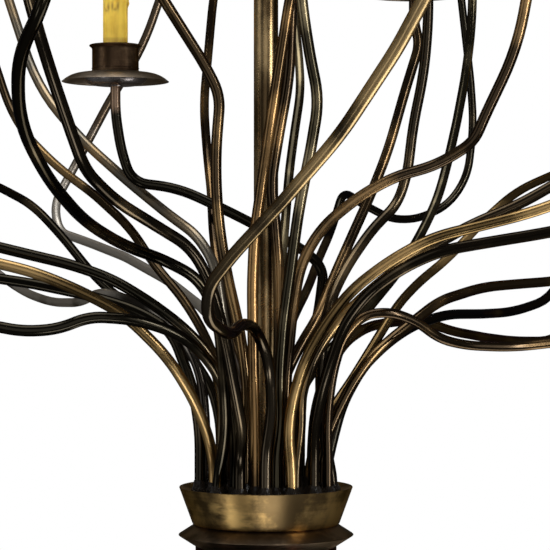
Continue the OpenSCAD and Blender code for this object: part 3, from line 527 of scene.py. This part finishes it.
# ring, slot, thickness, height where the straight foot ends, finish, corners of the route;
# all in mm from the middle of the cup's rim
rods = {
    "candle_arm_1": ("inner", 2.2, "thick", 50, "sooty", [
        (38, 66, 110), (54, 104, 165), (61, 132, 218), (38, 137, 239), (0, 137, 258),
        (-45, 137, 281), (-95, 141, 304), (-144, 146, 310), (-156, 150, 345), (-162, 150, 385),
        (-162, 150, 417)]),
    "candle_arm_2": ("inner", 3.5, "thick", 50, "brown", [
        (16, 60, 100), (36, 70, 140), (54, 82, 168), (70, 106, 207), (92, 130, 255),
        (112, 150, 298), (131, 164, 345), (150, 180, 410), (167, 196, 463), (161, 200, 490),
        (161, 200, 517)]),
    "candle_arm_3": ("outer", 12, "thick", 40, "rising", [
        (6, -74, 78), (4, -86, 128), (-9, -120, 160), (-20, -190, 168), (-31, -255, 157),
        (-50, -297, 174), (-47, -320, 202), (-24, -354, 230), (15, -408, 270), (60, -475, 320),
        (99, -550, 378), (126, -612, 428), (140, -630, 465), (140, -630, 500)]),
    "candle_arm_4": ("outer", 10, "thick", 12, "black", [
        (-38, -64, 60), (-40, -84, 112), (-45, -94, 168), (-62, -102, 207),
        (-95, -120, 225), (-130, -165, 238), (-160, -235, 258), (-183, -330, 292), (-198, -405, 335),
        (-190, -475, 380), (-165, -530, 412), (-150, -550, 455), (-150, -550, 500)]),
    "candle_arm_5": ("inner", 10.5, "thick", 40, "black", [
        (-34, -55, 88), (-53, -72, 128), (-82, -96, 155), (-123, -116, 169),
        (-165, -128, 172), (-195, -130, 160), (-228, -130, 158), (-300, -130, 172), (-400, -132, 188),
        (-500, -138, 205), (-545, -140, 250), (-548, -140, 290), (-548, -140, 325)]),
    "candle_arm_6": ("outer", 15, "thin", 25, "brown", [
        (60, -25, 70), (66, -20, 115), (77, -15, 150), (98, -10, 172), (125, -5, 174),
        (150, 8, 165), (176, 25, 146), (205, 45, 139), (255, 70, 136), (340, 90, 145), (430, 95, 155),
        (510, 95, 175), (548, 95, 220), (550, 95, 260), (550, 95, 295)]),
    "candle_arm_7": ("outer", 6, "thin", 60, "black", [
        (-56, 62, 95), (-85, 92, 137), (-120, 125, 172), (-160, 165, 186),
        (-190, 188, 212), (-225, 222, 252), (-262, 260, 289), (-320, 330, 318), (-370, 390, 330),
        (-388, 408, 365), (-388, 408, 405)]),
    "candle_arm_8": ("inner", 1.5, "thin", 20, "gold", [
        (58, 45, 57), (68, 57, 74), (90, 80, 104), (118, 110, 146), (140, 145, 179),
        (165, 182, 203), (200, 226, 229), (245, 282, 272), (288, 332, 308), (350, 395, 335),
        (405, 436, 350), (420, 446, 385), (420, 446, 420)]),
    "branch_1": ("outer", 8, "thick", 55, "black", [
        (-73, 5, 97), (-95, 15, 155), (-130, 30, 175), (-180, 45, 190), (-240, 60, 202),
        (-330, 80, 215), (-410, 95, 250), (-455, 100, 325)]),
    "branch_2": ("outer", 7, "thin", 60, "grey", [
        (-66, 30, 112), (-86, 44, 150), (-122, 78, 177), (-174, 130, 195),
        (-202, 178, 181), (-242, 264, 180), (-287, 348, 192), (-342, 412, 228), (-350, 420, 300)]),
    "branch_3": ("inner", 8.5, "thick", 22, "gold", [
        (-57, -22, 52), (-71, -42, 90), (-95, -58, 131), (-137, -65, 173),
        (-180, -70, 196), (-224, -70, 214), (-300, -75, 232), (-380, -90, 240), (-440, -110, 280),
        (-460, -120, 345)]),
    "branch_4": ("inner", 9.5, "thick", 50, "black", [
        (-42, -38, 90), (-52, -46, 130), (-80, -52, 160), (-112, -50, 184),
        (-150, -45, 207), (-190, -40, 221), (-228, -40, 230), (-310, -40, 250), (-380, -35, 290),
        (-412, -30, 375)]),
    "branch_5": ("inner", 6.2, "thin", 60, "bronze", [
        (-45, 42, 105), (-62, 58, 148), (-85, 80, 185), (-118, 105, 222),
        (-146, 145, 262), (-190, 200, 300), (-235, 250, 332), (-290, 310, 385), (-325, 350, 480)]),
    "branch_6": ("outer", 11, "thick", 30, "deep", [
        (-22, -80, 60), (-30, -98, 105), (-38, -115, 150), (-50, -130, 200),
        (-68, -145, 236), (-100, -170, 256), (-135, -215, 278), (-158, -255, 303), (-168, -275, 335),
        (-183, -305, 385), (-194, -345, 432), (-205, -380, 490), (-215, -395, 550)]),
    "branch_7": ("core", 10.5, "thick", 60, "bronze", [
        (-18, -38, 100), (-26, -42, 160), (-38, -40, 210), (-47, -35, 265),
        (-50, -30, 325), (-45, -28, 388), (-60, -30, 418), (-92, -40, 468), (-125, -60, 520),
        (-142, -70, 600)]),
    "branch_8": ("inner", 4.5, "thin", 40, "brown", [
        (-14, 62, 90), (-32, 80, 145), (-50, 105, 210), (-57, 140, 257),
        (-60, 172, 302), (-66, 205, 350), (-70, 225, 400), (-66, 248, 455), (-61, 268, 520),
        (-48, 288, 610)]),
    "branch_9": ("inner", 5.5, "thick", 50, "fading", [
        (-34, 55, 110), (-45, 64, 170), (-53, 72, 222), (-72, 88, 252),
        (-105, 122, 276), (-150, 178, 312), (-205, 238, 360), (-262, 295, 425), (-305, 340, 545)]),
    "branch_10": ("outer", 5, "thick", 60, "smoke", [
        (-32, 80, 120), (-60, 130, 170), (-110, 230, 205), (-165, 340, 232),
        (-215, 430, 250), (-257, 480, 264), (-264, 498, 300), (-239, 520, 350), (-199, 542, 430),
        (-158, 562, 500), (-122, 580, 610)]),
    "branch_11": ("inner", 11.5, "thick", 40, "amber", [
        (-12, -58, 120), (-13, -60, 200), (-11, -60, 250), (-4, -56, 298),
        (4, -46, 355), (14, -40, 420), (24, -40, 485), (40, -50, 560), (62, -72, 650)]),
    "branch_12": ("core", 12, "thick", 30, "brown", [
        (9, -27, 80), (13, -21, 130), (13, -21, 215), (9, -22, 265), (5, -24, 302),
        (13, -24, 352), (23, -18, 405), (25, -10, 460), (28, 0, 530), (46, 12, 640)]),
    "branch_13": ("core", 4, "thin", 50, "olive", [
        (5, 58, 120), (12, 90, 190), (19, 122, 255), (24, 170, 320), (30, 212, 365),
        (38, 255, 418), (36, 290, 462), (31, 325, 512), (24, 365, 600)]),
    "branch_14": ("inner", 12.5, "thick", 30, "olive", [
        (15, -54, 66), (13, -60, 110), (17, -66, 165), (24, -72, 215), (32, -78, 275),
        (43, -88, 330), (51, -97, 378), (42, -106, 420), (34, -114, 470), (30, -120, 530),
        (40, -132, 600)]),
    "branch_15": ("core", 13.5, "thick", 40, "brown", [
        (19, -42, 100), (26, -40, 175), (34, -38, 222), (55, -40, 258), (90, -43, 287),
        (125, -47, 307), (167, -52, 318), (202, -60, 340), (213, -64, 366), (243, -72, 430),
        (266, -84, 560)]),
    "branch_16": ("outer", 13, "thick", 20, "gold", [
        (22, -66, 55), (25, -66, 85), (36, -68, 125), (55, -70, 160), (82, -72, 196),
        (120, -75, 225), (160, -77, 247), (205, -79, 258), (260, -82, 272), (330, -90, 300),
        (390, -100, 345), (412, -105, 420)]),
    "branch_17": ("inner", 13.5, "thick", 25, "glint", [
        (34, -47, 60), (34, -48, 95), (50, -46, 137), (72, -42, 167), (110, -38, 203),
        (160, -32, 237), (205, -24, 262), (250, -16, 280), (320, -10, 320), (370, -8, 380),
        (386, -8, 455)]),
    "branch_18": ("outer", 14, "thick", 30, "deep", [
        (47, -52, 60), (53, -60, 92), (62, -72, 125), (75, -82, 163), (98, -95, 194),
        (130, -115, 218), (165, -135, 234), (205, -150, 241), (260, -175, 250), (330, -215, 265),
        (395, -260, 300), (430, -285, 380)]),
    "branch_19": ("outer", 0, "thick", 8, "deep", [
        (59, -8, 45), (54, -10, 90), (55, -8, 140), (64, 8, 185), (82, 38, 220),
        (110, 72, 259), (137, 96, 285), (148, 102, 318), (154, 105, 368), (166, 108, 425),
        (171, 108, 490), (166, 98, 590)]),
    "branch_20": ("inner", 0.5, "thick", 20, "bronze", [
        (60, 16, 45), (72, 18, 73), (86, 20, 100), (106, 26, 128), (130, 40, 148),
        (152, 56, 164), (180, 85, 184), (230, 136, 198), (268, 172, 201), (330, 220, 205),
        (400, 260, 225), (448, 284, 305)]),
    "branch_21": ("outer", 1, "thick", 15, "black", [
        (67, 30, 42), (77, 36, 79), (98, 60, 115), (127, 105, 140), (157, 150, 157),
        (196, 202, 168), (242, 272, 167), (285, 332, 168), (345, 405, 185), (375, 440, 265)]),
    "branch_22": ("outer", 2, "thick", 30, "bronze", [
        (50, 62, 70), (60, 72, 105), (80, 90, 140), (106, 128, 156), (136, 180, 160),
        (172, 238, 161), (210, 290, 147), (255, 355, 138), (294, 410, 132), (360, 480, 130),
        (415, 520, 190)]),
    "branch_23": ("outer", 3, "thick", 45, "olive", [
        (34, 82, 90), (60, 112, 125), (92, 152, 155), (118, 198, 183), (150, 252, 218),
        (178, 300, 262), (198, 335, 300), (212, 362, 345), (224, 384, 392), (238, 412, 455),
        (247, 432, 520), (248, 440, 610)]),
    "branch_24": ("outer", 4, "thin", 50, "black", [
        (8, 90, 110), (28, 145, 165), (45, 200, 196), (57, 272, 226), (75, 345, 264),
        (90, 392, 311), (111, 425, 298), (152, 468, 279), (185, 492, 280), (225, 512, 298),
        (250, 525, 335), (258, 534, 400), (255, 541, 455), (240, 555, 600)]),
}


def socketAt(ring, slot, height):
    angle = math.radians(rodSetup["slotAngle"] * slot)
    return Vector((rodSetup[ring] * math.cos(angle), rodSetup[ring] * math.sin(angle), height))


def bentRod(name, ring, slot, thickness, rise, tone, corners):
    radius = rodSetup[thickness]
    path = [socketAt(ring, slot, rodSetup["footHeight"]), socketAt(ring, slot, rise)]
    path += [Vector(corner) for corner in corners]
    last = len(path) - 1
    ways = [(path[i + 1] - path[i]).normalized() for i in range(last)]
    spare = [((path[i + 1] - path[i]).length - rodSetup["straightLeft"]) / 2 for i in range(last)]
    knots = [[path[0], path[0], path[0], 1.0]]             # place, left handle, right handle, size
    for i in range(1, last):                               # an arc at each corner
        bend = ways[i - 1].angle(ways[i])
        reach = min(rodSetup["bendRadius"] * math.tan(bend / 2), spare[i - 1], spare[i])
        pull = 4 / 3 * math.tan(bend / 4) * reach / math.tan(bend / 2)
        start, end = path[i] - ways[i - 1] * reach, path[i] + ways[i] * reach
        knots.append([start, start, start + ways[i - 1] * pull, 1.0])
        knots.append([end, end - ways[i] * pull, end, 1.0])
    tip = path[last]
    straights = list(range(0, len(knots), 2))
    if name.startswith("branch"):                          # a cut end with its edge taken off
        cut = rodSetup["chamfer"]
        edge = tip - ways[-1] * cut
        straights.append(len(knots))
        knots.append([edge, edge, edge, 1.0])
        knots.append([tip, tip, tip, (radius - cut) / radius])
    else:
        knots.append([tip, tip, tip, 1.0])
    for i in straights:                                    # straight runs get handles on their line
        third = (knots[i + 1][0] - knots[i][0]) / 3
        knots[i][2], knots[i + 1][1] = knots[i][0] + third, knots[i + 1][0] - third

    line = newCurve(name, radius * mm, rodSetup["sides"])
    line.resolution_u = rodSetup["curveSteps"]
    spline = line.splines.new("BEZIER")
    spline.radius_interpolation = "LINEAR"
    spline.bezier_points.add(len(knots) - 1)
    for point, (*places, size) in zip(spline.bezier_points, knots):
        point.handle_left_type = point.handle_right_type = "FREE"
        point.co, point.handle_left, point.handle_right = [place * mm + hubRim for place in places]
        point.radius = size
    mesh = curveMesh(line)
    form = bmesh.new()
    form.from_mesh(mesh)
    bmesh.ops.remove_doubles(form, verts=form.verts, dist=1e-6)
    form.to_mesh(mesh)
    form.free()
    return addPiece(camelName(name), mesh, rodFinish[tone], "chandelier", (name,), 40)


for name, values in rods.items():
    bentRod(name, *values)
print("rods made")


# in each dictionary, a list of pairs is radius and height in mm, counted from what its note names
cup = {
    "rim": 87.0, "foot": 73.5, "height": 37.0, "floor": 6.0, "bevel": 4.0, "inner": 74.1,
    "ledge": 12.0, "lower": 68.1, "bore": 5.1, "innerEdge": (0.6, 0.5),
    "footEdge": [(-1, 0), (-0.2, 0.3), (0.3, 1.2)],                          # the foot
    "rimEdge": [(-0.6, -1.4), (-0.3, -0.6), (-0.6, -0.1), (-1.3, -0.15)],    # the rim
}
across, down = cup["innerEdge"]
turnedPiece("hubCup", [
    (cup["bore"], -cup["height"]), *shifted(cup["footEdge"], cup["foot"], -cup["height"]),
    *shifted(cup["rimEdge"], cup["rim"], 0),
    (cup["inner"] + across, -cup["bevel"]), (cup["inner"], -cup["bevel"] - down),
    (cup["inner"], -cup["ledge"]), (cup["lower"], -cup["ledge"]),
    (cup["lower"], -cup["height"] + cup["floor"]), (cup["bore"], -cup["height"] + cup["floor"]),
], [hubRim], 160, turnedFinish["cupBronze"], "chandelier", "gilt_bronze", replaced=("hub_cup",), sharp=24)

disc = {
    "neck": 70.5, "edge": 87.5, "top": -37.0, "height": 22.0,
    "edgeRound": [(-0.6, -0.45), (-0.1, 0), (-0.6, 0.45)],                   # the edge's middle
}
discFoot = disc["top"] - disc["height"]
turnedPiece("flangeDisc", [
    (cup["bore"], discFoot), (disc["neck"], discFoot),
    *shifted(disc["edgeRound"], disc["edge"], disc["top"] - disc["height"] / 2),
    (disc["neck"], disc["top"]), (cup["bore"], disc["top"]),
], [hubRim], 160, turnedFinish["discBronze"], "chandelier", "bronze", replaced=("flange_disc",), sharp=24)

shell = {
    "top": -59.0, "neckHeight": 8.0, "height": 92.0, "bulge": 50.0, "core": 32.0, "wall": 3.0,
    "bulgeAt": 0.46, "rings": 32,
    "neck": [(55.5, 0), (70.0, 0), (70.5, -0.5), (70.5, -7.4), (70.0, -8.0)],    # the top
}
high, low = shell["top"] - shell["neckHeight"], shell["top"] - shell["height"]
widest = high - (shell["height"] - shell["neckHeight"]) * shell["bulgeAt"]
bulge = []
for i in range(shell["rings"] + 1):        # from the neck down to the foot
    z = high + (low - high) * i / shell["rings"]
    bulge.append((shell["core"] + math.sqrt(shell["bulge"] ** 2 - (z - widest) ** 2), z))
turnedPiece("turnedBody", [
    *shifted(shell["neck"], 0, shell["top"]), *bulge,
    (cup["bore"], low), (cup["bore"], low + shell["wall"]),
    *[(r - shell["wall"], z) for r, z in reversed(bulge[2:-2])],
], [hubRim], 128, turnedFinish["oxbloodBronze"], "chandelier", "oxblood_paint",
    replaced=("turned_body",), sharp=28)

knob = {
    "top": -151.0, "ball": 17.0, "ballMiddle": -31.0, "ballFrom": 52, "ballStep": 6.5, "ballRings": 20,
    "plate": [(0, 0), (41.4, 0), (42.0, -0.5), (41.8, -1.2), (39.3, -5.6), (38.6, -6.0), (29.6, -6.1),
              (28.8, -6.6), (22.0, -10.0), (14.6, -11.6), (13.2, -12.2), (10.4, -13.4),
              (10.2, -16.5)],                                                # the top
    "button": [(5.3, -16.3), (5.4, -17.6), (4.4, -18.8), (3.2, -19.7), (0, -20.0)],    # the ball's middle
}
ballMiddle = knob["top"] + knob["ballMiddle"]
angles = [math.radians(knob["ballFrom"] - knob["ballStep"] * i) for i in range(knob["ballRings"])]
turnedPiece("finial", [
    *shifted(knob["plate"], 0, knob["top"]),
    *[(knob["ball"] * math.cos(a), ballMiddle + knob["ball"] * math.sin(a)) for a in angles],
    *shifted(knob["button"], 0, ballMiddle),
], [hubRim], 96, poleBronze, "chandelier", "gilt_bronze", replaced=("finial",), sharp=32, closed=False)

fill = {"surface": -2.6, "bottom": -12.0, "outside": 73.95, "poleGap": 12.3, "rings": 26,
        "lump": 1.0, "lumpScale": 60}
form = bmesh.new()
ringRadii = [fill["poleGap"] + (fill["outside"] - fill["poleGap"]) * i / fill["rings"]
             for i in range(fill["rings"] + 1)]
lathe(form, [(r, fill["surface"]) for r in ringRadii]
      + [(fill["outside"], fill["bottom"]), (fill["poleGap"], fill["bottom"])], hubRim, 128)
for v in form.verts:
    if v.co.z > hubRim.z + (fill["surface"] - 1) * mm:
        v.co.z += noise.noise(v.co * fill["lumpScale"]) * fill["lump"] * mm
finishForm(form, "rodSetting", setting, "chandelier", "dark_bronze", ("socket_plate",), 60)

collar = {
    "spread": 3.4, "rise": 8.5, "base": -4.0, "inside": 0.6, "lip": 0.25, "steps": 20,
    "near": 0.012, "skin": 2e-4,           # metres round a foot that are roughened, and off the rod
    "lump": 1.3, "lumpScale": 170, "wave": 1.6, "waveScale": 120,
    "slope": [(0.8, -1.6), (0.45, 0.2)],   # share of the spread, height in mm
    "throat": (0.22, 0.55),                # share of the spread, share of the rise
    "rises": (0.55, 0.45, 3.1),            # middle and spread of the rise's share, step between collars
}
narrow, part = collar["throat"]
middle, uneven, pace = collar["rises"]
form = bmesh.new()
for index, (ring, slot, thickness, *_) in enumerate(rods.values()):
    foot = socketAt(ring, slot, 0) * mm + hubRim
    r, spread = rodSetup[thickness], collar["spread"]
    up = collar["rise"] * (middle + uneven * noise.noise(Vector((index * pace, 0, 0))))
    lathe(form, [
        (r - collar["inside"], collar["base"]), (r + spread, collar["base"]),
        *[(r + spread * share, z) for share, z in collar["slope"]],
        (r + spread * narrow, up * part), (r + collar["lip"], up), (r - collar["inside"], up),
    ], foot, collar["steps"])
    for v in form.verts:
        away = Vector((v.co.x - foot.x, v.co.y - foot.y, 0))
        if max(abs(away.x), abs(away.y)) < collar["near"] and away.length > r * mm + collar["skin"]:
            lump = noise.noise(v.co * collar["lumpScale"] + Vector((index, 0, 0)))
            v.co += away.normalized() * lump * collar["lump"] * mm
            v.co.z += noise.noise(v.co * collar["waveScale"]) * collar["wave"] * mm
finishForm(form, "rodCollars", setting, "chandelier", "dark_bronze", (), 60)
print("hub made")


pole = {"radius": 12.25, "wall": 2.0, "top": -122.0, "bottom": -931.0, "rings": (-700.0, -400.0),
        "edge": (0.5, 0.6)}
across, down = pole["edge"]
bore = pole["radius"] - pole["wall"]
turnedPiece("centrePole", [
    (bore, pole["bottom"]), (pole["radius"], pole["bottom"]),
    *[(pole["radius"], z) for z in pole["rings"]],
    (pole["radius"], pole["top"] - down), (pole["radius"] - across, pole["top"]), (bore, pole["top"]),
], [Vector()], 64, poleBronze, "chandelier", "gilt_bronze", replaced=("center_pole",))

for node, finish, slotName in (
        ("canopy_collar", poleBronze, "gilt_bronze"), ("swivel_yoke", poleBronze, "gilt_bronze"),
        ("stem_yoke", poleBronze, "gilt_bronze"), ("swivel_cross", zincSteel, "zinc_steel"),
        ("canopy", turnedFinish["discBronze"], "bronze")):
    softened(node, finish)

for node, finish in (("crossbar", zincSteel), ("hanger_nipple", lampBrass), ("cup_studs", lampBrass),
                     ("tie_rod", zincSteel), ("lamp_sockets", moulding)):
    frame["nodes"][node].data.materials.clear()
    frame["nodes"][node].data.materials.append(finish)
print("pole and ceiling fittings made")


armEnds = [Vector(rods["candle_arm_%d" % i][5][-1]) * mm + hubRim for i in range(1, 9)]

boss = {"radius": 7.5, "rise": 9.0, "grip": 4.0, "bore": 5.6, "edge": 0.6,
        "dishFoot": 21.0, "dishRim": 35.0, "dishDrop": 3.0, "dishTop": 8.6, "dishRings": 12,
        "dishCorner": 0.5, "sheet": 1.5}
dish = []
for i in range(boss["dishRings"] + 1):
    a = math.radians(90 * i / boss["dishRings"])
    dish.append((boss["dishFoot"] + (boss["dishRim"] - boss["dishFoot"]) * math.sin(a),
                 -boss["dishDrop"] + (boss["dishTop"] + boss["dishDrop"]) * (1 - math.cos(a))))
turnedPiece("armBosses", [
    (boss["bore"], -boss["grip"]), (boss["radius"] - boss["edge"], -boss["grip"]),
    (boss["radius"], -boss["grip"] + boss["edge"]), (boss["radius"], -boss["dishDrop"]), *dish,
    *[(r - boss["sheet"], z) for r, z in reversed(dish[2:])],
    (boss["dishFoot"] - boss["dishCorner"], -boss["dishDrop"] + boss["sheet"]),
    (boss["radius"], -boss["dishDrop"] + boss["sheet"]),
    (boss["radius"], boss["rise"]), (boss["bore"], boss["rise"]),
], armEnds, 64, turnedFinish["dishPaintedReflection"], "chandelier", "bronze", replaced=("arm_bosses",), sharp=32)

pan = {
    "top": 10.5, "flat": 27.5, "rim": 57.5, "height": 9.5, "sheet": 1.5, "bore": 4.6,
    "rimEdge": [(57.3, 1.35), (57.48, 1.12), (57.3, 1.0), (56.6, 1.0)],      # the arm's end
}


def shoulder(degrees, skin):
    share = math.sin(math.radians(degrees))
    fall = pan["height"] * share ** 3
    return (pan["flat"] + (pan["rim"] - pan["flat"]) * share,
            pan["top"] - min(fall + skin, pan["height"]))


turnedPiece("dripPans", [
    (pan["bore"], pan["top"]), *[shoulder(t, 0) for t in range(0, 80, 5)], *pan["rimEdge"],
    *[shoulder(t, pan["sheet"]) for t in range(70, -1, -5)], (pan["bore"], pan["top"] - pan["sheet"]),
], armEnds, 96, turnedFinish["panBronze"], "chandelier", "bronze", replaced=("drip_pans",), sharp=32)

holder = {
    "radius": 25.0, "lip": 28.0, "height": 30.0, "wall": 1.5, "floor": 2.0, "bore": 4.6,
    "foot": [(-0.6, 0), (0, 0.5), (0.1, 0.9), (0.75, 1.2), (0.8, 1.6), (0.7, 2.1), (0.1, 2.6), (0, 3.2),
             (0, 4.2), (0.5, 4.5), (0.5, 4.9), (0, 5.2)],                    # the side, the pan's top
    "flare": [(0, -5.0), (0.4, -3.8), (1.4, -2.6)],                          # the side, the cup's top
    "lipEdge": [(-0.6, -2.0), (-0.1, -1.5), (0, -0.9), (-0.3, -0.3), (-0.9, 0), (-1.9, -0.1),
                (-3.0, -1.2)],                                               # the lip, the cup's top
    "inside": [(-1.2, -3.4), (-1.5, -5.0)],                                  # the side, the cup's top
}
foot, top = pan["top"], pan["top"] + holder["height"]
turnedPiece("candleCups", [
    (holder["bore"], foot), *shifted(holder["foot"], holder["radius"], foot),
    *shifted(holder["flare"], holder["radius"], top), *shifted(holder["lipEdge"], holder["lip"], top),
    *shifted(holder["inside"], holder["radius"], top),
    (holder["radius"] - holder["wall"], foot + holder["floor"]), (holder["bore"], foot + holder["floor"]),
], armEnds, 80, turnedFinish["holderBronze"], "chandelier", "bronze", replaced=("candle_cups",), sharp=34)

sleeve = {
    "radius": 13.25, "wall": 1.5, "base": 12.5, "height": 103.0, "rings": 78, "steps": 84,
    "footEdge": 0.3, "topEdge": 0.5, "skin": 0.8, "proud": 1.5, "drips": 7, "turn": 137,
    "lipSwell": 0.9, "lipReach": 4.5, "waves": 0.12, "waveScale": 130,
    "bandTop": 48.0, "bandWave": 1.5, "bandScale": 90, "bandShade": 0.30, "glaze": 0.75,
}
# degrees round, half width, length in mm
longDrips = [(-130, 2.3, 39), (-87, 2.6, 38), (-2, 2.4, 35), (95, 2.4, 32)]


def bell(distance, width):
    return math.exp(-(distance / width) ** 2)


def dripMark(across, past):                # across in half widths, past the drip's end in mm
    tail = -past / 5
    run = 1.0 if tail > 1 else max(0.0, 1 - (1 - tail) ** 2) * 1.25
    swell = bell(across, 1) * run * (0.75 + 0.25 * bell(past + 5, 4))
    rim = bell(past + 3, 5) * bell(across - 1.15, 0.5)     # painted shade round a drip's end
    # painted shade on the drip's tip
    tip = 0.8 * bell(past - 0.5, 1.6) * bell(across, 1)
    return swell, max(rim, tip)


dripRandom = random.Random(31)
form = bmesh.new()
glaze = form.verts.layers.float.new("glaze")
r, low, high = sleeve["radius"], sleeve["base"], sleeve["base"] + sleeve["height"]
rows = [low + sleeve["height"] * i / sleeve["rings"] for i in range(1, sleeve["rings"])]
for index, end in enumerate(armEnds):
    before = set(form.verts)
    lathe(form, [
        (r - sleeve["footEdge"], low), *[(r, z) for z in rows], (r, high - sleeve["topEdge"]),
        (r - sleeve["topEdge"], high), (r - sleeve["wall"], high), (r - sleeve["wall"], low),
    ], end, sleeve["steps"])
    turned = math.radians(sleeve["turn"] * index)
    drips = [(math.radians(at) + turned, width, length) for at, width, length in longDrips]
    drips += [(dripRandom.uniform(0, 2 * math.pi), dripRandom.uniform(2.0, 3.4),
               dripRandom.uniform(10, 28)) for _ in range(sleeve["drips"])]
    for v in [v for v in form.verts if v not in before]:
        side = Vector((v.co.x - end.x, v.co.y - end.y))
        if side.length < (r - sleeve["skin"]) * mm:        # the bore stays smooth
            continue
        angle = math.atan2(side.y, side.x)
        height = (v.co.z - end.z) / mm
        depth = high - height                              # below the sleeve's top
        swell = sleeve["lipSwell"] * bell(depth, sleeve["lipReach"])
        shade = 0.0
        for at, width, length in drips:
            across = abs((angle - at + math.pi) % (2 * math.pi) - math.pi) * r / width
            marks = dripMark(across, depth - length)
            swell, shade = max(swell, marks[0]), max(shade, marks[1])
        swell = swell * sleeve["proud"] + sleeve["waves"] * noise.noise(v.co * sleeve["waveScale"])
        band = sleeve["bandTop"] + sleeve["bandWave"] * noise.noise(v.co * sleeve["bandScale"]) - height
        band = sleeve["bandShade"] * min(1.0, max(0.0, band / sleeve["bandWave"]))
        # the brown mark: painted shade round the drips, together with the low band
        v[glaze] = min(1.0, sleeve["glaze"] * shade + band)
        push = side.normalized() * swell * mm
        v.co.x += push.x
        v.co.y += push.y
finishForm(form, "candleSleeves", wax, "chandelier", "wax_sleeve", ("candle_sleeves",), 50)

bulb = {
    "base": 88.5, "baseHeight": 24.0, "radius": 17.0, "height": 76.0, "neck": 6.5, "glass": 0.7,
    "lift": 0.15, "rings": 40, "liningFoot": 1.0, "liningTop": 2.4,
    "lean": 0.7, "fullness": 0.85,         # powers that shape the flame
    "contact": [(0, 0), (1.8, 0.2), (2.4, 1.4), (2.6, 2.2), (4.6, 4.6)],     # the base's foot
    "thread": [(5.3, 0), (5.85, 0.7), (5.85, 1.2), (5.3, 1.9)],              # a turn's foot
    "threadFoot": 5.5, "pitch": 2.2, "turns": 7,
    "collar": [(5.9, -2.6), (5.95, -0.2), (5.2, 0), (0, 0.2)],               # the glass's foot
    "stem": [(0, 1.2), (4.4, 1.4), (4.0, 5), (2.6, 8), (2.2, 15), (2.5, 18.5), (1.6, 20), (0, 20.3)],
    "wire": 0.22, "stemTop": 20, "wireFoot": (1.2, 12),                      # out, down from the stem's top
    "loop": [(-3.6, 16), (-3.8, 24), (-3.2, 33), (-2.2, 42), (-1.0, 46), (0.4, 43), (1.0, 46), (2.3, 42),
             (3.2, 33), (3.8, 24), (3.6, 16)],                               # the glass's foot
}


def flameSide(t):
    width = math.sin(math.pi * t ** bulb["lean"]) ** bulb["fullness"]
    return max(bulb["neck"] if t < 0.5 else 0.0, bulb["radius"] * width)


def tube(name, line, radius, sides=2):
    curve = newCurve(name, radius, sides)
    spline = curve.splines.new("POLY")
    spline.points.add(len(line) - 1)
    for point, place in zip(spline.points, line):
        point.co = (*place, 1)
    return curveMesh(curve)


def bulbSkin(outer, inner, centre):        # hollow glass, the lining with its faces turned inward
    form = bmesh.new()
    lathe(form, outer, centre, 48, closed=False)
    skin = set(form.faces)
    lathe(form, inner, centre, 48, closed=False)
    lining = [face for face in form.faces if face not in skin]
    bmesh.ops.remove_doubles(form, verts=form.verts, dist=1e-6)
    bmesh.ops.recalc_face_normals(form, faces=form.faces)
    bmesh.ops.reverse_faces(form, faces=[face for face in lining if face.is_valid])
    return formMesh(form, "bulbGlass")


glassFoot = bulb["base"] + bulb["baseHeight"]
side = [(flameSide(t), glassFoot + max(bulb["lift"], bulb["height"] * t))
        for t in [j / bulb["rings"] for j in range(bulb["rings"])]]
outer = [(0, glassFoot + bulb["lift"]), *side, (0, glassFoot + bulb["height"])]
inner = [(0, glassFoot + bulb["liningFoot"]), *[(max(r - bulb["glass"], 0.0), z) for r, z in side[1:-1]],
         (0, glassFoot + bulb["height"] - bulb["liningTop"])]
thread = []
for i in range(bulb["turns"]):
    thread += shifted(bulb["thread"], 0, bulb["base"] + bulb["threadFoot"] + bulb["pitch"] * i)
baseSide = shifted(bulb["contact"], 0, bulb["base"]) + thread + shifted(bulb["collar"], 0, glassFoot)
stemSide = shifted(bulb["stem"], 0, glassFoot)
out, down = bulb["wireFoot"]

for i, end in enumerate(armEnds, 1):
    lamp = "lamp_%d" % i
    addPiece("bulbGlass%d" % i, bulbSkin(outer, inner, end), bulbGlass, lamp,
             ("bulb_%d" % i,), 60)
    turnedPiece("bulbBase%d" % i, baseSide, [end], 40, lampBrass, lamp, "lamp_brass",
                sharp=40, closed=False)
    loop = [end + Vector((x, 0, glassFoot + z)) * mm for x, z in bulb["loop"]]
    stemTop = end + Vector((0, 0, glassFoot + bulb["stemTop"])) * mm
    wire = [stemTop - Vector((out, 0, down)) * mm] + loop + [stemTop - Vector((-out, 0, down)) * mm]
    addPiece("filament%d" % i, tube("filament", wire, bulb["wire"] * mm), filamentWire, lamp,
             (), 60)
    turnedPiece("bulbStem%d" % i, stemSide, [end], 24, bulbGlass, lamp, "bulb_glass",
                sharp=60, closed=False)
print("candle lights made")
